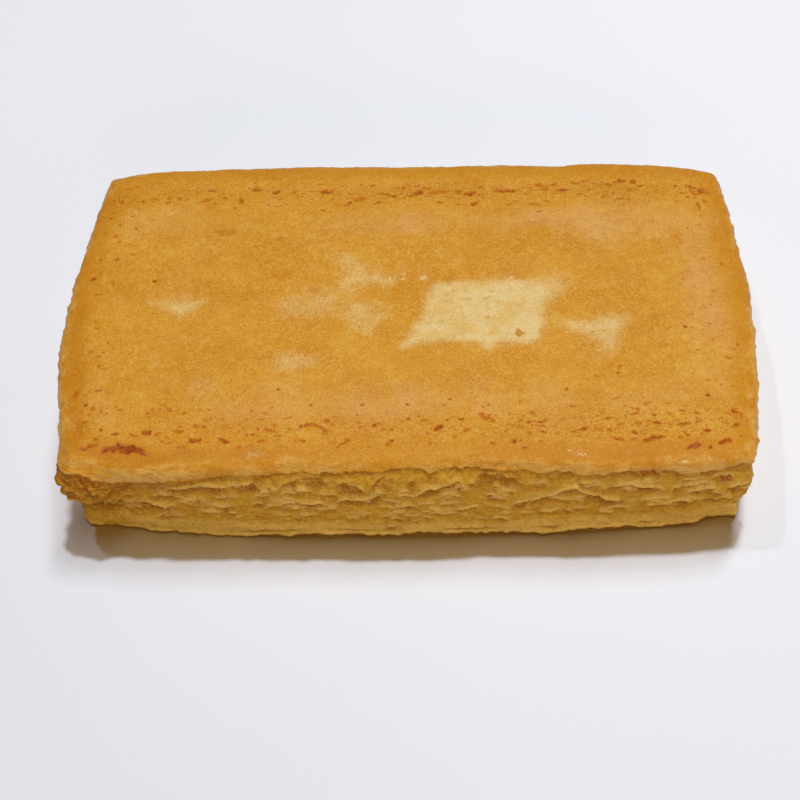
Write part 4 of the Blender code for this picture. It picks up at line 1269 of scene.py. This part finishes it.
    gloss = n.step(mottle, 0.3, 0.7, 0.44, 0.60)
    gloss = n.math("ADD", gloss, n.math("MULTIPLY", side, 0.22))
    gloss = n.math("ADD", gloss, n.math("MULTIPLY", n.step(dust, 0.60, 0.72), -0.26))
    gloss = n.math("ADD", gloss, n.math("MULTIPLY", glint, -0.22), clamp=True)

    height = n.math("MULTIPLY", n.math("SUBTRACT", mottle, 0.5), 0.10)
    height = n.math("ADD", height, n.math("MULTIPLY", n.math("SUBTRACT", grain, 0.5), 0.10))
    height = n.math("ADD", height, n.math("MULTIPLY", n.math("SUBTRACT", dust, 0.5), 0.05))
    height = n.math("SUBTRACT", height, n.math("MULTIPLY", small, 0.03))
    height = n.math("SUBTRACT", height, n.math("MULTIPLY", crinkle, 0.016))
    curdled = n.math("MULTIPLY", n.math("SUBTRACT", curd, 0.5), n.math("MULTIPLY", n.math("MAXIMUM", side, rim), 0.14))
    height = n.math("ADD", height, curdled)
    torn = n.math("MULTIPLY", n.math("SUBTRACT", streak, 0.5), n.math("MULTIPLY", n.math("MAXIMUM", side, rim), 0.07))
    height = n.math("ADD", height, torn)
    bump = n.add("ShaderNodeBump")
    bump.inputs["Strength"].default_value = 1.0
    bump.inputs["Distance"].default_value = 0.001
    n.link(height, bump.inputs["Height"])

    shader = n.add("ShaderNodeBsdfPrincipled")
    n.link(colour, shader.inputs["Base Color"])
    n.link(gloss, shader.inputs["Roughness"])
    n.link(bump.outputs[0], shader.inputs["Normal"])
    shader.inputs["IOR"].default_value = 1.42
    shader.inputs["Specular IOR Level"].default_value = 0.25
    shader.inputs["Subsurface Weight"].default_value = 0.12
    shader.inputs["Subsurface Radius"].default_value = (1.0, 0.5, 0.2)
    shader.inputs["Subsurface Scale"].default_value = 0.0012
    out = n.add("ShaderNodeOutputMaterial")
    n.link(shader.outputs[0], out.inputs[0])
    return material


def floor_material():
    material = bpy.data.materials.new("pale_floor")
    n = Nodes(material)
    cloud = n.noise(90.0, 1.0, 0.5)
    colour = n.mix(cloud, srgb(231, 233, 241), srgb(235, 237, 245))
    # Painted light falloff: the floor is painted a little brighter and cooler to the right, and a little dimmer near
    # the viewer.
    split = n.add("ShaderNodeSeparateXYZ")
    n.link(n.place(), split.inputs[0])
    sideways = n.mix(n.step(split.outputs[0], -110.0, 110.0), (0.945, 0.955, 0.975, 1.0), (1.045, 1.06, 1.075, 1.0))
    away = n.mix(n.step(split.outputs[1], -115.0, 115.0), (0.925, 0.945, 0.985, 1.0), (1.045, 1.02, 1.025, 1.0))
    colour = n.mix(1.0, n.mix(1.0, colour, sideways, "MULTIPLY"), away, "MULTIPLY")
    shader = n.add("ShaderNodeBsdfPrincipled")
    n.link(colour, shader.inputs["Base Color"])
    shader.inputs["Roughness"].default_value = 0.6
    shader.inputs["Specular IOR Level"].default_value = 0.2
    out = n.add("ShaderNodeOutputMaterial")
    n.link(shader.outputs[0], out.inputs[0])
    return material


# ---------------------------------------------------------------- the set


def make_floor():
    half = 6.0
    corners = np.array([(-half, -half, 0), (half, -half, 0), (half, half, 0), (-half, half, 0)], float)
    mesh = mesh_from("floor", corners, np.array([[0, 1, 2, 3]]))
    floor = bpy.data.objects.new("floor", mesh)
    bpy.context.scene.collection.objects.link(floor)
    mesh.materials.append(floor_material())
    return floor


def soft_light(name, place, size, power, aim, colour=(1.0, 1.0, 1.0)):
    """A long soft lamp that shines from place to aim, size (across, along)."""
    data = bpy.data.lights.new(name, "AREA")
    data.shape = "RECTANGLE"
    data.size, data.size_y = size
    data.energy = power
    data.color = colour
    lamp = bpy.data.objects.new(name, data)
    bpy.context.scene.collection.objects.link(lamp)
    way = Vector(aim) - Vector(place)
    lamp.location = place
    lamp.rotation_euler = way.to_track_quat("-Z", "Y").to_euler()
    return lamp


def make_light(bar, floor):
    # One strong lamp overhead, a little behind the bar, a weaker one at its left, a long one that tails off further
    # back and a broad one that fills the shadow. Each has a share for the bar and one for the floor.
    lit_bar, lit_floor = bpy.data.collections.new("lit_bar"), bpy.data.collections.new("lit_floor")
    lit_bar.objects.link(bar)
    lit_floor.objects.link(floor)
    for name, place, size, for_bar, for_floor, colour in (
        ("lamp", (0.24, 1.32, 4.0), (0.36, 0.20), 56, 86, (0.92, 0.97, 1.0)),
        ("lamp_left", (-1.48, 1.32, 4.0), (0.20, 0.20), 13, 21, (0.93, 0.97, 1.0)),
        ("lamp_tail", (0.80, 2.10, 4.0), (0.64, 1.04), 22, 68, (0.95, 0.98, 1.0)),
        ("lamp_fill", (0.08, 0.44, 4.2), (1.20, 1.52), 19, 25, (1.0, 0.88, 0.58)),
    ):
        for lit, power, tint in ((lit_bar, for_bar, (1.0, 1.0, 1.0)), (lit_floor, for_floor, colour)):
            lamp = soft_light(name, place, size, power, (0.0, 0.0, 0.01), tint)
            lamp.light_linking.receiver_collection = lit
    # Two panels in front for the bar's near side. They are flagged off the floor, where they would wash out the
    # shadow. A faint deep orange one there stands in for the crust's own glow.
    for name, place, size, power, colour, lit in (
        ("high_panel", (0.20, -0.38, 0.92), (0.45, 0.22), 3.4, (1.0, 0.94, 0.78), lit_bar),
        ("low_panel", (0.20, -0.80, 0.42), (0.9, 0.30), 1.6, (1.0, 0.87, 0.62), lit_bar),
        ("front_glow", (0.05, -0.95, 0.36), (1.1, 0.30), 2.4, (1.0, 0.38, 0.02), lit_floor),
    ):
        panel = soft_light(name, place, size, power, (0.0, 0.0, 0.01), colour)
        panel.light_linking.receiver_collection = lit
    world = bpy.data.worlds.new("soft_room")
    world.use_nodes = True
    world.node_tree.nodes["Background"].inputs[0].default_value = (1.0, 0.76, 0.24, 1.0)
    world.node_tree.nodes["Background"].inputs[1].default_value = 0.024
    bpy.context.scene.world = world
    bpy.context.scene.view_settings.view_transform = "Standard"


def make_camera():
    pitch, yaw, roll = 0.95354, -0.076728, -0.073041
    place = np.array([8.520, -141.735, 190.903])
    ahead = np.array(
        [math.sin(yaw) * math.cos(pitch), math.cos(yaw) * math.cos(pitch), -math.sin(pitch)]
    )
    right = np.array([math.cos(yaw), -math.sin(yaw), 0.0])
    up = np.cross(right, ahead)
    right, up = (
        right * math.cos(roll) + up * math.sin(roll),
        -right * math.sin(roll) + up * math.cos(roll),
    )
    data = bpy.data.cameras.new("view")
    data.sensor_width = 36.0
    data.lens = 63.0
    data.clip_start = 0.01
    data.clip_end = 10.0
    camera = bpy.data.objects.new("view", data)
    bpy.context.scene.collection.objects.link(camera)
    matrix = Matrix.Identity(4)
    for i in range(3):
        matrix[i][0], matrix[i][1], matrix[i][2] = right[i], up[i], -ahead[i]
        matrix[i][3] = to_model(place)[i]
    camera.matrix_world = matrix
    bpy.context.scene.camera = camera


make_camera()
floor = make_floor()
bar = build_bar()
make_light(bar, floor)
bar.data.materials.append(bake_material())
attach(bar, "root")
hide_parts("cheesecake_bar")
